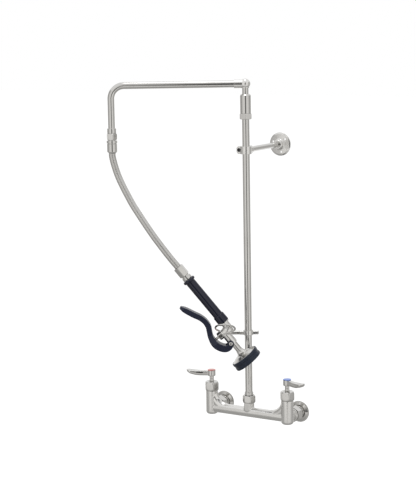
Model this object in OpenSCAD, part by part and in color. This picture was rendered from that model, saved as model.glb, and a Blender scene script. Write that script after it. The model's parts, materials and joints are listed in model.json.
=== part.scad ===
// Wall mounted pre-rinse faucet: two lever valves on a cast bar, a riser with a wall bracket,
// an overhead swing arm, a flexible hose and a squeeze-lever spray unit.
// Frame: origin midway between the two inlets, on the wall. +Y goes into the wall, +Z is up and
// +X is to the right of a person who faces the wall. Millimetres and degrees.

/* [Mixing body] */
// Distance between the two inlets
inlet_centres = 203.2; // [190:0.1:215]
// Distance from the wall to the axis of the bar and the riser
body_off = 60; // [58:1:75]
// Diameter of the bar between the valves
bar_d = 23.5; // [21:0.5:26]
// Diameter of each valve body
valve_d = 29; // [28:0.5:31]
// Height of a valve body above the bar axis
valve_top = 40.8; // [38:0.1:50]
// Depth of a valve body below the bar axis
valve_bottom = 16.2; // [15:0.1:20]
// Across flats of a bonnet
bonnet_af = 30.5; // [29.5:0.5:34]
// Height of a bonnet
bonnet_h = 21.5; // [18:0.5:28]
// Diameter of a wall flange at an inlet
inlet_flange_d = 50.5; // [46:0.5:60]
// Radius of the threaded inlet hole
inlet_r = 10.2; // [9:0.1:10.5]

/* [Handles] */
// Diameter of a handle hub
hub_d = 19; // [18:0.5:24]
// Height of a handle hub
hub_h = 13.6; // [12:0.1:20]
// Length of a handle from its axis to its tip
handle_len = 60; // [50:1:75]
// Angle that a handle is turned forward from the line of the valves
handle_turn = 24; // [0:1:40]
// Bare length of a stem between bonnet and handle
stem_gap = 13.7; // [10:0.1:20]
// Diameter of a stem
stem_d = 10.6; // [9:0.1:12]

/* [Riser and swivel] */
// Outer diameter of the riser pipe
riser_d = 17.1; // [16:0.1:18]
// Height of the riser pipe's visible top above the bar axis
riser_top = 687; // [600:1:800]
// Height of the union nut
union_h = 18.3; // [16:0.1:24]
// Diameter of the swivel body
swivel_d = 25.4; // [25:0.1:28]
// Height of the swivel body
swivel_h = 44.2; // [40:0.1:55]
// Height of the swivel nut
swivel_nut_h = 12.9; // [10:0.1:16]
// Diameter of the turning spindle
spindle_d = 14.8; // [14:0.1:15]
// Bare length of the spindle between swivel body and elbow
spindle_gap = 13; // [10:0.5:20]

/* [Arm and hose] */
// Angle of the arm, forward from the wall line to the left
arm_turn = 30; // [0:1:60]
// Reach from the riser axis to the drop axis
arm_reach = 306; // [255:1:368]
// Outer diameter of the arm tube
arm_d = 15.9; // [14:0.1:16.5]
// Centre line radius of the arm's bend
bend_r = 30; // [25:1:45]
// Height of the hose end above the bar axis
drop_z = 614; // [600:1:614]
// Outer diameter of the hose
hose_d = 16; // [14:0.5:17]

/* [Wall bracket] */
// Height of the bracket above the bar axis
bracket_z = 616.5; // [500:0.5:640]
// Length from the riser axis to the bracket's wall face
bracket_len = 164; // [140:1:200]
// Diameter of the bracket rod
bracket_rod_d = 13; // [11:0.5:14]
// Diameter of the bracket's wall flange
bracket_flange_d = 56; // [54:1:70]
// Diameter of the circle through the flange's screw holes
bracket_pcd = 37; // [36:0.5:39]
// Diameter of each screw hole
bracket_hole_d = 5.2; // [4:0.1:6]

/* [Finger hook] */
// Height of the hook above the bar axis
hook_z = 191; // [170:1:220]
// Diameter of the finger
finger_d = 9.6; // [8:0.1:10]
// Length of the finger from the riser axis
finger_len = 66; // [50:1:75]

/* [Spray unit] */
// Tilt of the grip from the vertical
spray_tilt = 38.5; // [30:0.5:45]
// Distance of the spray unit in front of the riser
spray_front = 50; // [48:1:60]
// Length of the grip above its collar
grip_len = 100; // [90:1:120]
// Diameter of the grip
grip_d = 22.8; // [22:0.1:25]
// Length of the grip collar
collar_len = 21; // [18:0.5:26]
// Largest diameter of the grip collar
collar_d = 27.4; // [26.5:0.1:30]
// Diameter of the nozzle pipe
nozzle_d = 15; // [14:0.5:16]
// Distance of the nozzle axis from the grip axis
nozzle_off = 13.9; // [13:0.1:15]
// Diameter of the rubber bumper
bumper_d = 68; // [64:1:76]
// Width of the rubber bumper
bumper_h = 19.5; // [17:0.5:24]
// Outer diameter of the hold-down ring
ring_d = 49; // [48:0.5:52]
// Squeeze lever's width at the paddle
lever_w = 21; // [18:0.5:24]

/* [Hidden] */
$fn = 64;

// Clearances. Pieces of one group are screwed or pressed together with thread_gap between their
// round faces, a turning or sliding piece runs with run_gap, and face_gap keeps flat faces apart.
thread_gap = 0.1;
run_gap = 0.05;
face_gap = 0.3;
cut = 1;

chrome = [0.80, 0.80, 0.79];
casting = [0.76, 0.76, 0.74];
navy = [0.13, 0.14, 0.20];
dark = [0.20, 0.20, 0.21];
white = [0.93, 0.93, 0.92];
red = [0.78, 0.25, 0.20];
blue = [0.25, 0.45, 0.78];

// Waterways
bar_bore_r = 7;
pipe_wall = 2.3;
riser_r = riser_d / 2;
riser_bore_r = riser_r - pipe_wall;

// Web that rises from the bar to each valve body
web_r = bar_d / 2 - 1.25;
web_below = 1;
web_hollow_r = valve_top - bar_d / 2 - web_below;
valve_round = 11;

// Centre tee and union nut
tee_af = 24;
tee_top = 22.9;
tee_taper_z = 8;
union_af = 27.5;
union_top = tee_top + union_h;
tee_thread_r = 11;
tee_thread_h = 12;
union_turn = 15;
union_chamfer = 4;
union_lip = 3;
collar_r = riser_r + 1.65;
collar_top = union_top + 7.5;
riser_foot = tee_top + tee_thread_h + face_gap;
foot_r = 11;
foot_h = 3;

// Valve stack
valve_r = valve_d / 2;
valve_x = inlet_centres / 2;
cartridge_r = 9.4;
cartridge_z = 12;
bonnet_top = valve_top + bonnet_h;
bonnet_wall = 3;
bonnet_turn = 10;
bonnet_chamfer = 5;
port_r = 3;
port_h = 6;
cartridge_top = valve_top + 8;
stem_r = stem_d / 2;
hub_z = bonnet_top + stem_gap;
hub_top = hub_z + hub_h;
hub_r = hub_d / 2;
stem_top = hub_top - 5;
stem_flange_r = 8;
stem_flange_h = 3;
stem_plug = 9;
stem_square = 7.4;
screw_r = 2.4;
screw_head_r = 4.2;
screw_head_h = 3;
screw_sink = 1.5;
screw_reach = 7;
index_h = 2.8;
index_seat = 1;
blade_root_w = 12;
blade_root_x = hub_r + 8;
blade_tip_r = 9.6;
blade_rise = 2.5;
blade_root_z = 0.5;

// Inlets, measured back from the valve axis
shank_r = 12;
shoulder_r = 15.4;
shoulder_y0 = 21;
shoulder_y1 = 25;
shank_end = 30;
shank_bore_r = 7;
flange_t = 5;
flange_hub_r = 13;
inlet_depth = 17;
hub_end = 33;
inlet_nut_af = 33.5;
inlet_nut_y0 = 25.3;
inlet_nut_y1 = 44;
inlet_nut_turn = 30;
inlet_nut_chamfer = 2.5;
washer_t = hub_end - shank_end;
flange_rim_h = 2;

// Swivel and elbow
nut_af = 27;
nut_chamfer = 1.5;
nut_lip = 3;
swivel_z = riser_top + swivel_nut_h;
swivel_top = swivel_z + swivel_h;
swivel_r = swivel_d / 2;
swivel_thread_r = 11.2;
swivel_chamfer = 3;
pipe_plug = 16;
chamber_r = 9.6;
chamber_h = 15;
lip_h = 8;
spindle_r = spindle_d / 2;
spindle_flange_r = 9.2;
spindle_flange_h = 4;
spindle_tail = 6;
seal_t = 2;
swivel_bore_r = 5;
elbow_base = swivel_top + spindle_gap;
elbow_r = 11.8;
elbow_z = elbow_base + 10;
elbow_neck_r = elbow_r - 2.6;
elbow_neck_h = 8;
socket_r = 9.7;
socket_end = 25.5;
arm_r = arm_d / 2;
arm_wall = 1.5;
arm_start = 13;
bore_r = arm_r - arm_wall;

// Drop end of the arm, measured up from the hose end
ferrule_z0 = drop_z + 44.6;
ferrule_z1 = drop_z + 56.5;
ferrule_r = 10.5;
drop_nut_z0 = drop_z + 30.2;
drop_nut_af = 22;
drop_nut_turn = -12;
fitting_top = drop_z + 28.8;
fitting_r = 12.4;
fitting_groove_z = drop_z + 21;
fitting_groove_h = 1.6;
fitting_stub_r = 9;
fitting_stub_h = 6;
fitting_socket = 14;
drop_nut_socket = fitting_top + fitting_stub_h - drop_nut_z0 + face_gap;
tube_end = fitting_top + 8;
hose_r = hose_d / 2;
hose_sides = 12;
hose_bore_r = 5;

// Spray unit. Its own frame has Z up along the grip, X towards the lever and Y towards the front,
// with the origin where the grip collar ends. Below, heights are along that Z.
spray_at = [56, spray_front, 227];
grip_top = collar_len + grip_len;
grip_r = grip_d / 2;
grip_flange_r = 15;
grip_flange_h = 7.5;
knuckle_r = 11.3;
knuckle_z0 = grip_top + grip_flange_h + 0.5;
knuckle_h = 10.5;
knuckle_z1 = knuckle_z0 + knuckle_h;
coupling_z0 = knuckle_z1 + 0.5;
coupling_h = 25;
coupling_z1 = coupling_z0 + coupling_h;
coupling_af = 21.6;
coupling_turn = 20;
coupling_chamfer = 1.2;
tube_r = 8;
tube_bore_r = 5.5;
tube_tail = 10;
neck_r = 7;
head_flange_r = 8.8;
head_flange_h = 4;
head_clear = 5;
coupling_chamber_r = 9.1;
coupling_chamber_h = 12;

// Spray valve body
flange_r = 12.4;
body_flange_h = 3;
body_neck_r = 9.4;
bonnet_z = -20;
chamber_x0 = -4.4;
valve_bore_r = 6.4;
bulb_r = 12.4;
bulb_x = 5;
boss_r = 9.2;
boss_x = 20;
sleeve_r = 10.2;
sleeve_z = -52;
sleeve_top = -24;
nozzle_r = nozzle_d / 2;
nozzle_bore_r = 5.2;
nozzle_z0 = -46;
vbonnet_af = 17.5;
vbonnet_x1 = 31;
vbonnet_tail = 8;
plunger_r = 3;
plunger_x1 = 39.6;
plunger_x0 = 2;
disc_r = 5.6;
disc_t = 2.5;
spring_r = 5.6;
spring_t = 1;
spring_len = boss_x - vbonnet_tail - plunger_x0 - disc_t - 2 * face_gap;

// Squeeze lever: its pivot, then points on its centre line with the half thickness at each
pivot = [17.6, -47.6];
lever_line = [
    [55.5, 90, 2.5], [51, 78, 5.5], [42.5, 58, 6.2], [35, 42, 6.1], [32, 28, 6.1], [33.5, 15, 6.4],
    [39, 4, 6.2], [44.5, -7, 6.3], [47.2, -20, 7.2], [46.6, -30, 7.8], [42.5, -41, 7.8],
    [35, -50, 7.4], [26, -52, 7], [17.6, -47.6, 7]
];
lever_steps = 5;
lever_hub_w = 29;
lever_hub_z = -28;
fork_gap = 0.6;
fork_x = 30;
fork_z0 = -70;
fork_h = 60;
pivot_r = 3;
pivot_head_r = 4.4;
pivot_head_h = 2.2;
pivot_depth = 2.3;

// Hold-down ring: centre and the two turns that lay it over the neck of the spray valve
ring_band = 3.6;
ring_t = 2.4;
ring_at = [7.2, -2.1, -13.9];
ring_turns = [0, -52.2, 44.9];

// Spray head
head_z1 = -89.4;
head_r = 31.5;
head_wall = 2.5;
head_top = -73;
head_floor = -92;
pipe_foot = head_top - 1;
head_end = head_z1 - bumper_h + 3.2;
plate_z = head_end + 3;
plate_t = 2;
plate_holes = 16;
plate_hole_r = 1.2;
plate_ring_r = 20;
plate_screw_r = 5;
plate_screw_h = 2.2;
bumper_lip = 4;
bumper_lip_h = 2.6;
bumper_bevel = 1.2;

// Bracket and hook
clamp_h = 17.8;
clamp_r = 13;
ear_x = 21;
ear_bevel = 4;
ear_w = 15;
ear_slot = 1.6;
ear_screw_x = ear_x - 6;
clamp_boss_r = 9.7;
clamp_boss_y = 21;
rod_plug = 8;
bracket_screw_r = 2.5;
bracket_head_r = 4.2;
bracket_head_h = 3;
bracket_socket_r = 2;
bracket_socket_h = 1.6;
flange_plate_t = 3;
flange_dome_h = 5;
flange_hub_len = 16;
bracket_hub_r = 11.6;
flange_hole_turn = 19;
hook_clamp_r = 11.3;
hook_clamp_h = 11.5;
hook_knob = 24;
hook_knob_r = 5;
hook_screw_r = 2.5;
hook_screw_out = 0.6;
hook_socket_r = 1.5;
hook_socket_h = 2;
finger_plug = 12;
finger_cone = 8;
spigot_r = finger_d / 2 - 1.4;
finger_bare = finger_len - finger_plug - finger_cone;

// Route of the hose in the arm's frame: along the arm, towards the front, up from the bar axis.
// It hangs from the hose fitting and bends round to the coupling above the grip.
hose_route = [
    [306, 0, 606], [301.5, 3, 587], [294, 7, 564], [284, 12, 541.5], [272.5, 17, 519],
    [260, 23, 496.5], [245.5, 29, 474], [230.5, 35, 451.5], [215, 40, 429], [198.5, 44, 406.5],
    [182, 47.5, 385], [168.5, 49.5, 368]
];

// ---- Places ----

module at_axis() translate([0, -body_off, 0]) children();
module at_valve(side) translate([side * valve_x, -body_off, 0]) children();
module at_arm() at_axis() rotate([0, 0, 180 + arm_turn]) children();
module at_spray() at_arm() translate(spray_at) rotate([0, spray_tilt, 0]) children();
module at_nozzle() at_spray() translate([nozzle_off, 0, 0]) children();
// Turns a piece drawn along +Z so that it points along +Y, the way into the wall
module to_wall() rotate([-90, 0, 0]) children();

// ---- Shapes that repeat ----

// Hexagon nut with its corners turned off at both ends; af is the size across flats
module hex_nut(af, h, chamfer, turn = 0) {
    corner = af / sqrt(3);
    intersection() {
        rotate([0, 0, turn]) cylinder(r = corner, h = h, $fn = 6);
        rotate_extrude() polygon([
            [0, 0], [af / 2 - chamfer * 0.2, 0], [corner + 0.2, chamfer],
            [corner + 0.2, h - chamfer], [af / 2 - chamfer * 0.2, h], [0, h]
        ]);
    }
}

module tube(r, bore, h) difference() {
    cylinder(r = r, h = h);
    translate([0, 0, -cut]) cylinder(r = bore, h = h + 2 * cut);
}

// Ring turned from a rectangle with bevelled outer edges
module bevel_ring(r, bore, h, bevel) rotate_extrude() polygon([
    [bore, 0], [r - bevel, 0], [r, bevel], [r, h - bevel], [r - bevel, h], [bore, h]
]);

// ---- Mixing body ----

module valve_shell(side) at_valve(side) rotate_extrude() polygon(concat(
    [[0, valve_top], [valve_r, valve_top]],
    [for (a = [0 : 15 : 90])
        [valve_r - valve_round * (1 - cos(a)), -valve_bottom + valve_round * (1 - sin(a))]],
    [[0, -valve_bottom]]
));

module web(side) at_axis() translate([side * (valve_x - valve_r - web_hollow_r), 0, bar_d / 2 + web_hollow_r])
    rotate([90, 0, 0]) rotate([0, 0, side > 0 ? 270 : 180])
    rotate_extrude(angle = 90) translate([web_hollow_r + web_r, 0]) circle(r = web_r);

module shank(side) at_valve(side) to_wall() {
    cylinder(r = shank_r, h = shank_end);
    translate([0, 0, shoulder_y0]) cylinder(r = shoulder_r, h = shoulder_y1 - shoulder_y0);
}

module tee() at_axis() {
    intersection() {
        cylinder(r = tee_af / sqrt(3), h = tee_top, $fn = 6);
        cylinder(r1 = bar_d / 2 - 1, r2 = tee_af, h = tee_top + tee_taper_z);
    }
    cylinder(r = tee_thread_r, h = tee_top + tee_thread_h);
}

module faucet_body() color(casting) difference() {
    union() {
        at_axis() translate([-valve_x, 0, 0]) rotate([0, 90, 0]) cylinder(r = bar_d / 2, h = 2 * valve_x);
        for (side = [-1, 1]) {
            valve_shell(side);
            web(side);
            shank(side);
        }
        tee();
    }
    at_axis() translate([-valve_x, 0, 0]) rotate([0, 90, 0]) cylinder(r = bar_bore_r, h = 2 * valve_x);
    at_axis() cylinder(r = riser_bore_r, h = tee_top + tee_thread_h + cut);
    for (side = [-1, 1]) at_valve(side) {
        translate([0, 0, cartridge_z]) cylinder(r = cartridge_r + thread_gap, h = valve_top);
        translate([0, 0, -bar_bore_r]) cylinder(r = bar_bore_r - 1, h = cartridge_z + bar_bore_r + cut);
        to_wall() cylinder(r = shank_bore_r, h = shank_end + cut);
    }
}

module inlet_flange(side) color(chrome) at_valve(side) to_wall() difference() {
    union() {
        translate([0, 0, hub_end]) cylinder(r = flange_hub_r, h = body_off - hub_end);
        translate([0, 0, body_off - flange_t]) rotate_extrude() polygon([
            [0, 0], [inlet_flange_d / 2 - 8, 0], [inlet_flange_d / 2 - 2, flange_t - flange_rim_h],
            [inlet_flange_d / 2, flange_t - flange_rim_h], [inlet_flange_d / 2, flange_t], [0, flange_t]
        ]);
    }
    translate([0, 0, body_off - inlet_depth]) cylinder(r = inlet_r, h = inlet_depth + cut);
    translate([0, 0, hub_end - cut]) cylinder(r = shank_bore_r, h = body_off);
}

module inlet_nut(side) color(chrome) at_valve(side) to_wall() translate([0, 0, inlet_nut_y0]) {
    h = inlet_nut_y1 - inlet_nut_y0;
    difference() {
        hex_nut(inlet_nut_af, h, inlet_nut_chamfer, inlet_nut_turn);
        translate([0, 0, -cut]) cylinder(r = flange_hub_r + thread_gap, h = h + 2 * cut);
    }
}

module inlet_washers() color(dark) for (side = [-1, 1]) at_valve(side) to_wall()
    translate([0, 0, shank_end]) tube(shank_r, shank_bore_r, washer_t);

// ---- Valves and handles ----

module bonnet(side) color(chrome) at_valve(side) difference() {
    translate([0, 0, valve_top]) hex_nut(bonnet_af, bonnet_h, bonnet_chamfer, bonnet_turn);
    translate([0, 0, valve_top - cut])
        cylinder(r = cartridge_r + thread_gap, h = cartridge_top - valve_top + cut);
    translate([0, 0, valve_top]) cylinder(r = stem_flange_r + face_gap, h = bonnet_h - bonnet_wall);
    translate([0, 0, valve_top]) cylinder(r = stem_r + run_gap, h = bonnet_h + cut);
}

module cartridge(side) color(white) at_valve(side) difference() {
    translate([0, 0, cartridge_z]) cylinder(r = cartridge_r, h = cartridge_top - cartridge_z);
    translate([0, 0, cartridge_z - cut]) cylinder(r = port_r, h = port_h);
    translate([0, 0, cartridge_top - stem_plug - cut])
        cylinder(r = stem_r + run_gap, h = stem_plug + 2 * cut);
}

module stem(side) color(chrome) at_valve(side) difference() {
    union() {
        translate([0, 0, cartridge_top - stem_plug])
            cylinder(r = stem_r, h = hub_z - cartridge_top + stem_plug - face_gap);
        translate([0, 0, cartridge_top + face_gap]) cylinder(r = stem_flange_r, h = stem_flange_h);
        translate([-stem_square / 2, -stem_square / 2, hub_z - cut])
            cube([stem_square, stem_square, stem_top - hub_z + cut]);
    }
    translate([0, 0, hub_z]) cylinder(r = screw_r, h = hub_h);
}

// Blade seen from the side, from the hub outwards
function blade_side() = [
    [0, blade_root_z], [handle_len * 0.42, blade_root_z], [handle_len * 0.63, blade_root_z + 1],
    [handle_len * 0.85, blade_root_z + 4.6], [handle_len * 0.95, blade_root_z + 8.4],
    [handle_len, hub_h - 1], [handle_len - 1, hub_h + blade_rise - 0.6],
    [handle_len * 0.92, hub_h + blade_rise], [handle_len * 0.72, hub_h + blade_rise - 0.8],
    [handle_len * 0.45, hub_h + 0.4], [hub_r, hub_h - 0.6], [0, hub_h - 0.6]
];

module handle(side) color(chrome) at_valve(side) translate([0, 0, hub_z])
    rotate([0, 0, side > 0 ? -handle_turn : 180 + handle_turn]) difference() {
        union() {
            cylinder(r = hub_r, h = hub_h);
            intersection() {
                translate([0, hub_r, 0]) rotate([90, 0, 0]) linear_extrude(2 * hub_r) polygon(blade_side());
                linear_extrude(2 * hub_h) polygon(concat(
                    [[0, -blade_root_w / 2], [blade_root_x, -blade_root_w / 2]],
                    [for (a = [-75 : 15 : 75]) [
                        handle_len - blade_tip_r + blade_tip_r * cos(a), (blade_tip_r - 0.2) * sin(a)]],
                    [[blade_root_x, blade_root_w / 2], [0, blade_root_w / 2]]
                ));
            }
        }
        rotate([0, 0, side > 0 ? handle_turn : -handle_turn])
            translate([-stem_square / 2 - thread_gap, -stem_square / 2 - thread_gap, -cut])
            cube([stem_square + 2 * thread_gap, stem_square + 2 * thread_gap, stem_top - hub_z + cut]);
        cylinder(r = screw_r + thread_gap, h = hub_h + cut);
        translate([0, 0, hub_h - screw_head_h - screw_sink])
            cylinder(r = screw_head_r + thread_gap, h = hub_h);
        translate([0, 0, hub_h - index_seat]) cylinder(r = hub_r - 1, h = hub_h);
    }

module handle_screw(side) color(chrome) at_valve(side) {
    translate([0, 0, stem_top - screw_reach])
        cylinder(r = screw_r - thread_gap, h = hub_top - stem_top + screw_reach - screw_head_h);
    translate([0, 0, hub_top - screw_head_h - screw_sink]) cylinder(r = screw_head_r, h = screw_head_h);
}

module index_button(side) at_valve(side) translate([0, 0, hub_top - index_seat]) {
    cylinder(r = hub_r - 1 - thread_gap, h = index_seat);
    translate([0, 0, index_seat]) cylinder(r1 = hub_r, r2 = hub_r - 0.8, h = index_h - index_seat);
}

// ---- Riser ----

module union_nut() color(chrome) at_axis() translate([0, 0, tee_top]) difference() {
    hex_nut(union_af, union_h, union_chamfer, union_turn);
    translate([0, 0, -cut]) cylinder(r = tee_thread_r + thread_gap, h = union_h - union_lip + cut);
    cylinder(r = riser_r + thread_gap, h = union_h + cut);
}

module riser_collar() color(chrome) at_axis() translate([0, 0, union_top]) difference() {
    bevel_ring(collar_r, riser_r + thread_gap, collar_top - union_top, 1);
    translate([0, 0, -cut]) cylinder(r = riser_r + thread_gap, h = 1.5 * cut);
}

module riser_pipe() color(chrome) at_axis() difference() {
    union() {
        translate([0, 0, riser_foot]) cylinder(r = riser_r, h = swivel_z + pipe_plug - riser_foot);
        translate([0, 0, riser_foot]) cylinder(r = foot_r, h = foot_h - 2 * face_gap);
    }
    translate([0, 0, riser_foot - cut]) cylinder(r = riser_bore_r, h = swivel_z);
}

// ---- Wall bracket ----

module bracket_clamp() color(chrome) at_axis() translate([0, 0, bracket_z - clamp_h / 2]) difference() {
    union() {
        cylinder(r = clamp_r, h = clamp_h);
        translate([0, ear_w / 2, 0]) rotate([90, 0, 0]) linear_extrude(ear_w) polygon([
            [0, 0], [ear_bevel - ear_x, 0], [-ear_x, ear_bevel], [-ear_x, clamp_h - ear_bevel],
            [ear_bevel - ear_x, clamp_h], [0, clamp_h]
        ]);
        translate([0, 0, clamp_h / 2]) to_wall() cylinder(r = clamp_boss_r, h = clamp_boss_y);
    }
    translate([0, 0, -cut]) cylinder(r = riser_r + thread_gap, h = clamp_h + 2 * cut);
    translate([-ear_x - cut, -ear_slot / 2, -cut]) cube([ear_x, ear_slot, clamp_h + 2 * cut]);
    translate([-ear_screw_x, -ear_w, clamp_h / 2]) to_wall()
        cylinder(r = bracket_screw_r + thread_gap, h = 2 * ear_w);
    translate([-ear_screw_x, -ear_w / 2 - cut, clamp_h / 2]) to_wall()
        cylinder(r = bracket_head_r + thread_gap, h = bracket_head_h + cut);
    translate([0, clamp_boss_y - rod_plug, clamp_h / 2]) to_wall()
        cylinder(r = bracket_rod_d / 2 + thread_gap, h = rod_plug + cut);
}

module bracket_screw() color(dark) at_axis() translate([-ear_screw_x, -ear_w / 2, bracket_z]) to_wall()
    difference() {
        union() {
            cylinder(r = bracket_head_r, h = bracket_head_h);
            cylinder(r = bracket_screw_r, h = ear_w - 1);
        }
        translate([0, 0, -cut]) cylinder(r = bracket_socket_r, h = bracket_socket_h + cut, $fn = 6);
    }

module bracket_rod() color(chrome) at_axis() translate([0, clamp_boss_y - rod_plug, bracket_z]) to_wall()
    cylinder(r = bracket_rod_d / 2, h = bracket_len - flange_plate_t - clamp_boss_y + rod_plug - face_gap);

module bracket_flange() color(chrome) at_axis() translate([0, bracket_len, bracket_z]) rotate([90, 0, 0])
    difference() {
        rotate_extrude() polygon([
            [0, 0], [bracket_flange_d / 2, 0], [bracket_flange_d / 2, 1],
            [bracket_flange_d / 2 - 4, flange_plate_t], [bracket_hub_r + 2, flange_dome_h],
            [bracket_hub_r, flange_dome_h + 1.5], [bracket_hub_r, flange_hub_len - 1.5],
            [bracket_hub_r - 1.5, flange_hub_len], [0, flange_hub_len]
        ]);
        translate([0, 0, flange_plate_t]) cylinder(r = bracket_rod_d / 2 + thread_gap, h = bracket_len);
        for (k = [0 : 2]) rotate([0, 0, 180 - flange_hole_turn - 120 * k])
            translate([bracket_pcd / 2, 0, -cut]) cylinder(d = bracket_hole_d, h = bracket_len);
    }

// ---- Finger hook: the finger points along the arm, and its set screw holds it on the riser ----

module at_hook() at_arm() translate([0, 0, hook_z]) rotate([0, 90, 0]) children();

module hook_clamp() color(chrome) difference() {
    union() {
        at_arm() translate([0, 0, hook_z - hook_clamp_h / 2]) cylinder(r = hook_clamp_r, h = hook_clamp_h);
        at_hook() translate([0, 0, -hook_knob]) cylinder(r = hook_knob_r, h = hook_knob);
        at_hook() cylinder(r1 = hook_knob_r + 0.6, r2 = finger_d / 2 + 0.4, h = finger_plug + finger_cone);
    }
    at_arm() translate([0, 0, hook_z - hook_clamp_h])
        cylinder(r = riser_r + thread_gap, h = 2 * hook_clamp_h);
    at_hook() translate([0, 0, finger_plug]) cylinder(r = spigot_r + thread_gap, h = finger_cone + cut);
    at_hook() translate([0, 0, -hook_knob - cut]) cylinder(r = hook_screw_r + thread_gap, h = hook_knob);
}

module hook_finger() color(chrome) at_hook() {
    translate([0, 0, finger_plug]) cylinder(r = spigot_r, h = finger_cone);
    translate([0, 0, finger_plug + finger_cone]) rotate_extrude() polygon([
        [0, 0], [finger_d / 2, 0], [finger_d / 2, finger_bare - 2],
        [finger_d / 2 - 2, finger_bare], [0, finger_bare]
    ]);
}

module hook_screw() color(dark) at_hook() translate([0, 0, -hook_knob - hook_screw_out]) difference() {
    cylinder(r = hook_screw_r, h = hook_knob - riser_r);
    translate([0, 0, -cut]) cylinder(r = hook_socket_r, h = hook_socket_h + cut, $fn = 6);
}

// ---- Swivel and elbow ----

module swivel_nut() color(chrome) at_axis() translate([0, 0, riser_top]) difference() {
    hex_nut(nut_af, swivel_nut_h, nut_chamfer, 0);
    translate([0, 0, nut_lip]) cylinder(r = swivel_thread_r + thread_gap, h = swivel_nut_h);
    translate([0, 0, -cut]) cylinder(r = riser_r + thread_gap, h = swivel_nut_h);
}

module swivel_body() color(chrome) at_axis() difference() {
    union() {
        translate([0, 0, riser_top + nut_lip + face_gap])
            cylinder(r = swivel_thread_r, h = swivel_nut_h);
        translate([0, 0, swivel_z]) rotate_extrude() polygon([
            [0, 0], [swivel_r, 0], [swivel_r, swivel_h - swivel_chamfer],
            [swivel_r - swivel_chamfer, swivel_h], [0, swivel_h]
        ]);
    }
    translate([0, 0, riser_top]) cylinder(r = riser_r + thread_gap, h = swivel_nut_h + pipe_plug + face_gap);
    translate([0, 0, swivel_z]) cylinder(r = spindle_r + run_gap, h = swivel_h + cut);
    translate([0, 0, swivel_top - lip_h - chamber_h]) cylinder(r = chamber_r, h = chamber_h);
}

module swivel_spindle() color(chrome) at_axis() difference() {
    union() {
        translate([0, 0, swivel_top - lip_h - chamber_h + face_gap])
            cylinder(r = spindle_r, h = chamber_h + lip_h + spindle_gap + spindle_tail);
        translate([0, 0, swivel_top - lip_h - seal_t - spindle_flange_h])
            cylinder(r = spindle_flange_r, h = spindle_flange_h);
    }
    translate([0, 0, swivel_z]) cylinder(r = swivel_bore_r, h = 2 * swivel_h);
}

module swivel_seals() color(dark) at_axis() translate([0, 0, swivel_top - lip_h - seal_t])
    tube(spindle_flange_r, spindle_r + run_gap, seal_t - run_gap);

module elbow() color(chrome) at_arm() difference() {
    union() {
        translate([0, 0, elbow_z]) sphere(r = elbow_r);
        translate([0, 0, elbow_z]) rotate([0, 90, 0]) cylinder(r = socket_r, h = socket_end);
        translate([0, 0, elbow_base + 0.5]) cylinder(r = elbow_neck_r, h = elbow_neck_h);
    }
    translate([0, 0, elbow_base - cut]) cylinder(r = spindle_r + thread_gap, h = spindle_tail + 1.5 * cut);
    translate([0, 0, elbow_z - elbow_r - cut]) cylinder(r = swivel_bore_r, h = elbow_r + cut);
    translate([arm_start - face_gap, 0, elbow_z]) rotate([0, 90, 0])
        cylinder(r = arm_r + thread_gap, h = socket_end);
    translate([0, 0, elbow_z]) rotate([0, 90, 0]) cylinder(r = swivel_bore_r, h = socket_end);
}

// ---- Arm, drop end and hose ----

module arm_path(r) {
    translate([arm_start, 0, elbow_z]) rotate([0, 90, 0])
        cylinder(r = r, h = arm_reach - bend_r - arm_start);
    translate([arm_reach - bend_r, 0, elbow_z - bend_r]) rotate([90, 0, 0])
        rotate_extrude(angle = 90) translate([bend_r, 0]) circle(r = r);
    translate([arm_reach, 0, tube_end]) cylinder(r = r, h = elbow_z - bend_r - tube_end);
}

module arm_tube() color(chrome) at_arm() difference() {
    arm_path(arm_r);
    arm_path(bore_r);
}

module arm_ferrule() color(chrome) at_arm() translate([arm_reach, 0, ferrule_z0])
    bevel_ring(ferrule_r, arm_r + thread_gap, ferrule_z1 - ferrule_z0, 1);

module drop_nut() color(chrome) at_arm() translate([arm_reach, 0, drop_nut_z0]) difference() {
    hex_nut(drop_nut_af, ferrule_z0 - drop_nut_z0, nut_chamfer, drop_nut_turn);
    translate([0, 0, -cut]) cylinder(r = arm_r + thread_gap, h = drop_nut_af);
    translate([0, 0, -cut]) cylinder(r = fitting_stub_r + thread_gap, h = drop_nut_socket + cut);
}

module hose_fitting() color(chrome) at_arm() translate([arm_reach, 0, 0]) {
    step_z = fitting_groove_z - drop_z;
    top = fitting_top - drop_z;
    difference() {
        union() {
            translate([0, 0, drop_z]) rotate_extrude() polygon([
                [0, 0], [hose_r + 1.5, 0], [fitting_r - 0.6, 3], [fitting_r - 0.6, step_z],
                [fitting_r - 1.6, step_z], [fitting_r - 1.6, step_z + fitting_groove_h],
                [fitting_r, step_z + fitting_groove_h], [fitting_r, top], [0, top]
            ]);
            translate([0, 0, fitting_top]) cylinder(r = fitting_stub_r, h = fitting_stub_h);
        }
        translate([0, 0, tube_end - fitting_socket]) cylinder(r = arm_r + thread_gap, h = 2 * top);
        translate([0, 0, drop_z - cut]) cylinder(r = hose_bore_r, h = top);
    }
}

module hose_washer() color(dark) at_arm() translate([arm_reach, 0, tube_end - fitting_socket + thread_gap])
    tube(arm_r - 2 * thread_gap, hose_bore_r, fitting_socket - thread_gap - face_gap);

function unit(v) = v / norm(v);
hose_up = [sin(spray_tilt), 0, cos(spray_tilt)];
hose_points = concat(
    [[arm_reach, 0, drop_z]],
    hose_route,
    [spray_at + hose_up * (coupling_z1 + 8), spray_at + hose_up * coupling_z1]
);
hose_count = len(hose_points);

function hose_way(i) = i == 0 ? [0, 0, -1] : i == hose_count - 1 ? -hose_up
    : unit(unit(hose_points[i + 1] - hose_points[i]) + unit(hose_points[i] - hose_points[i - 1]));

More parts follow.
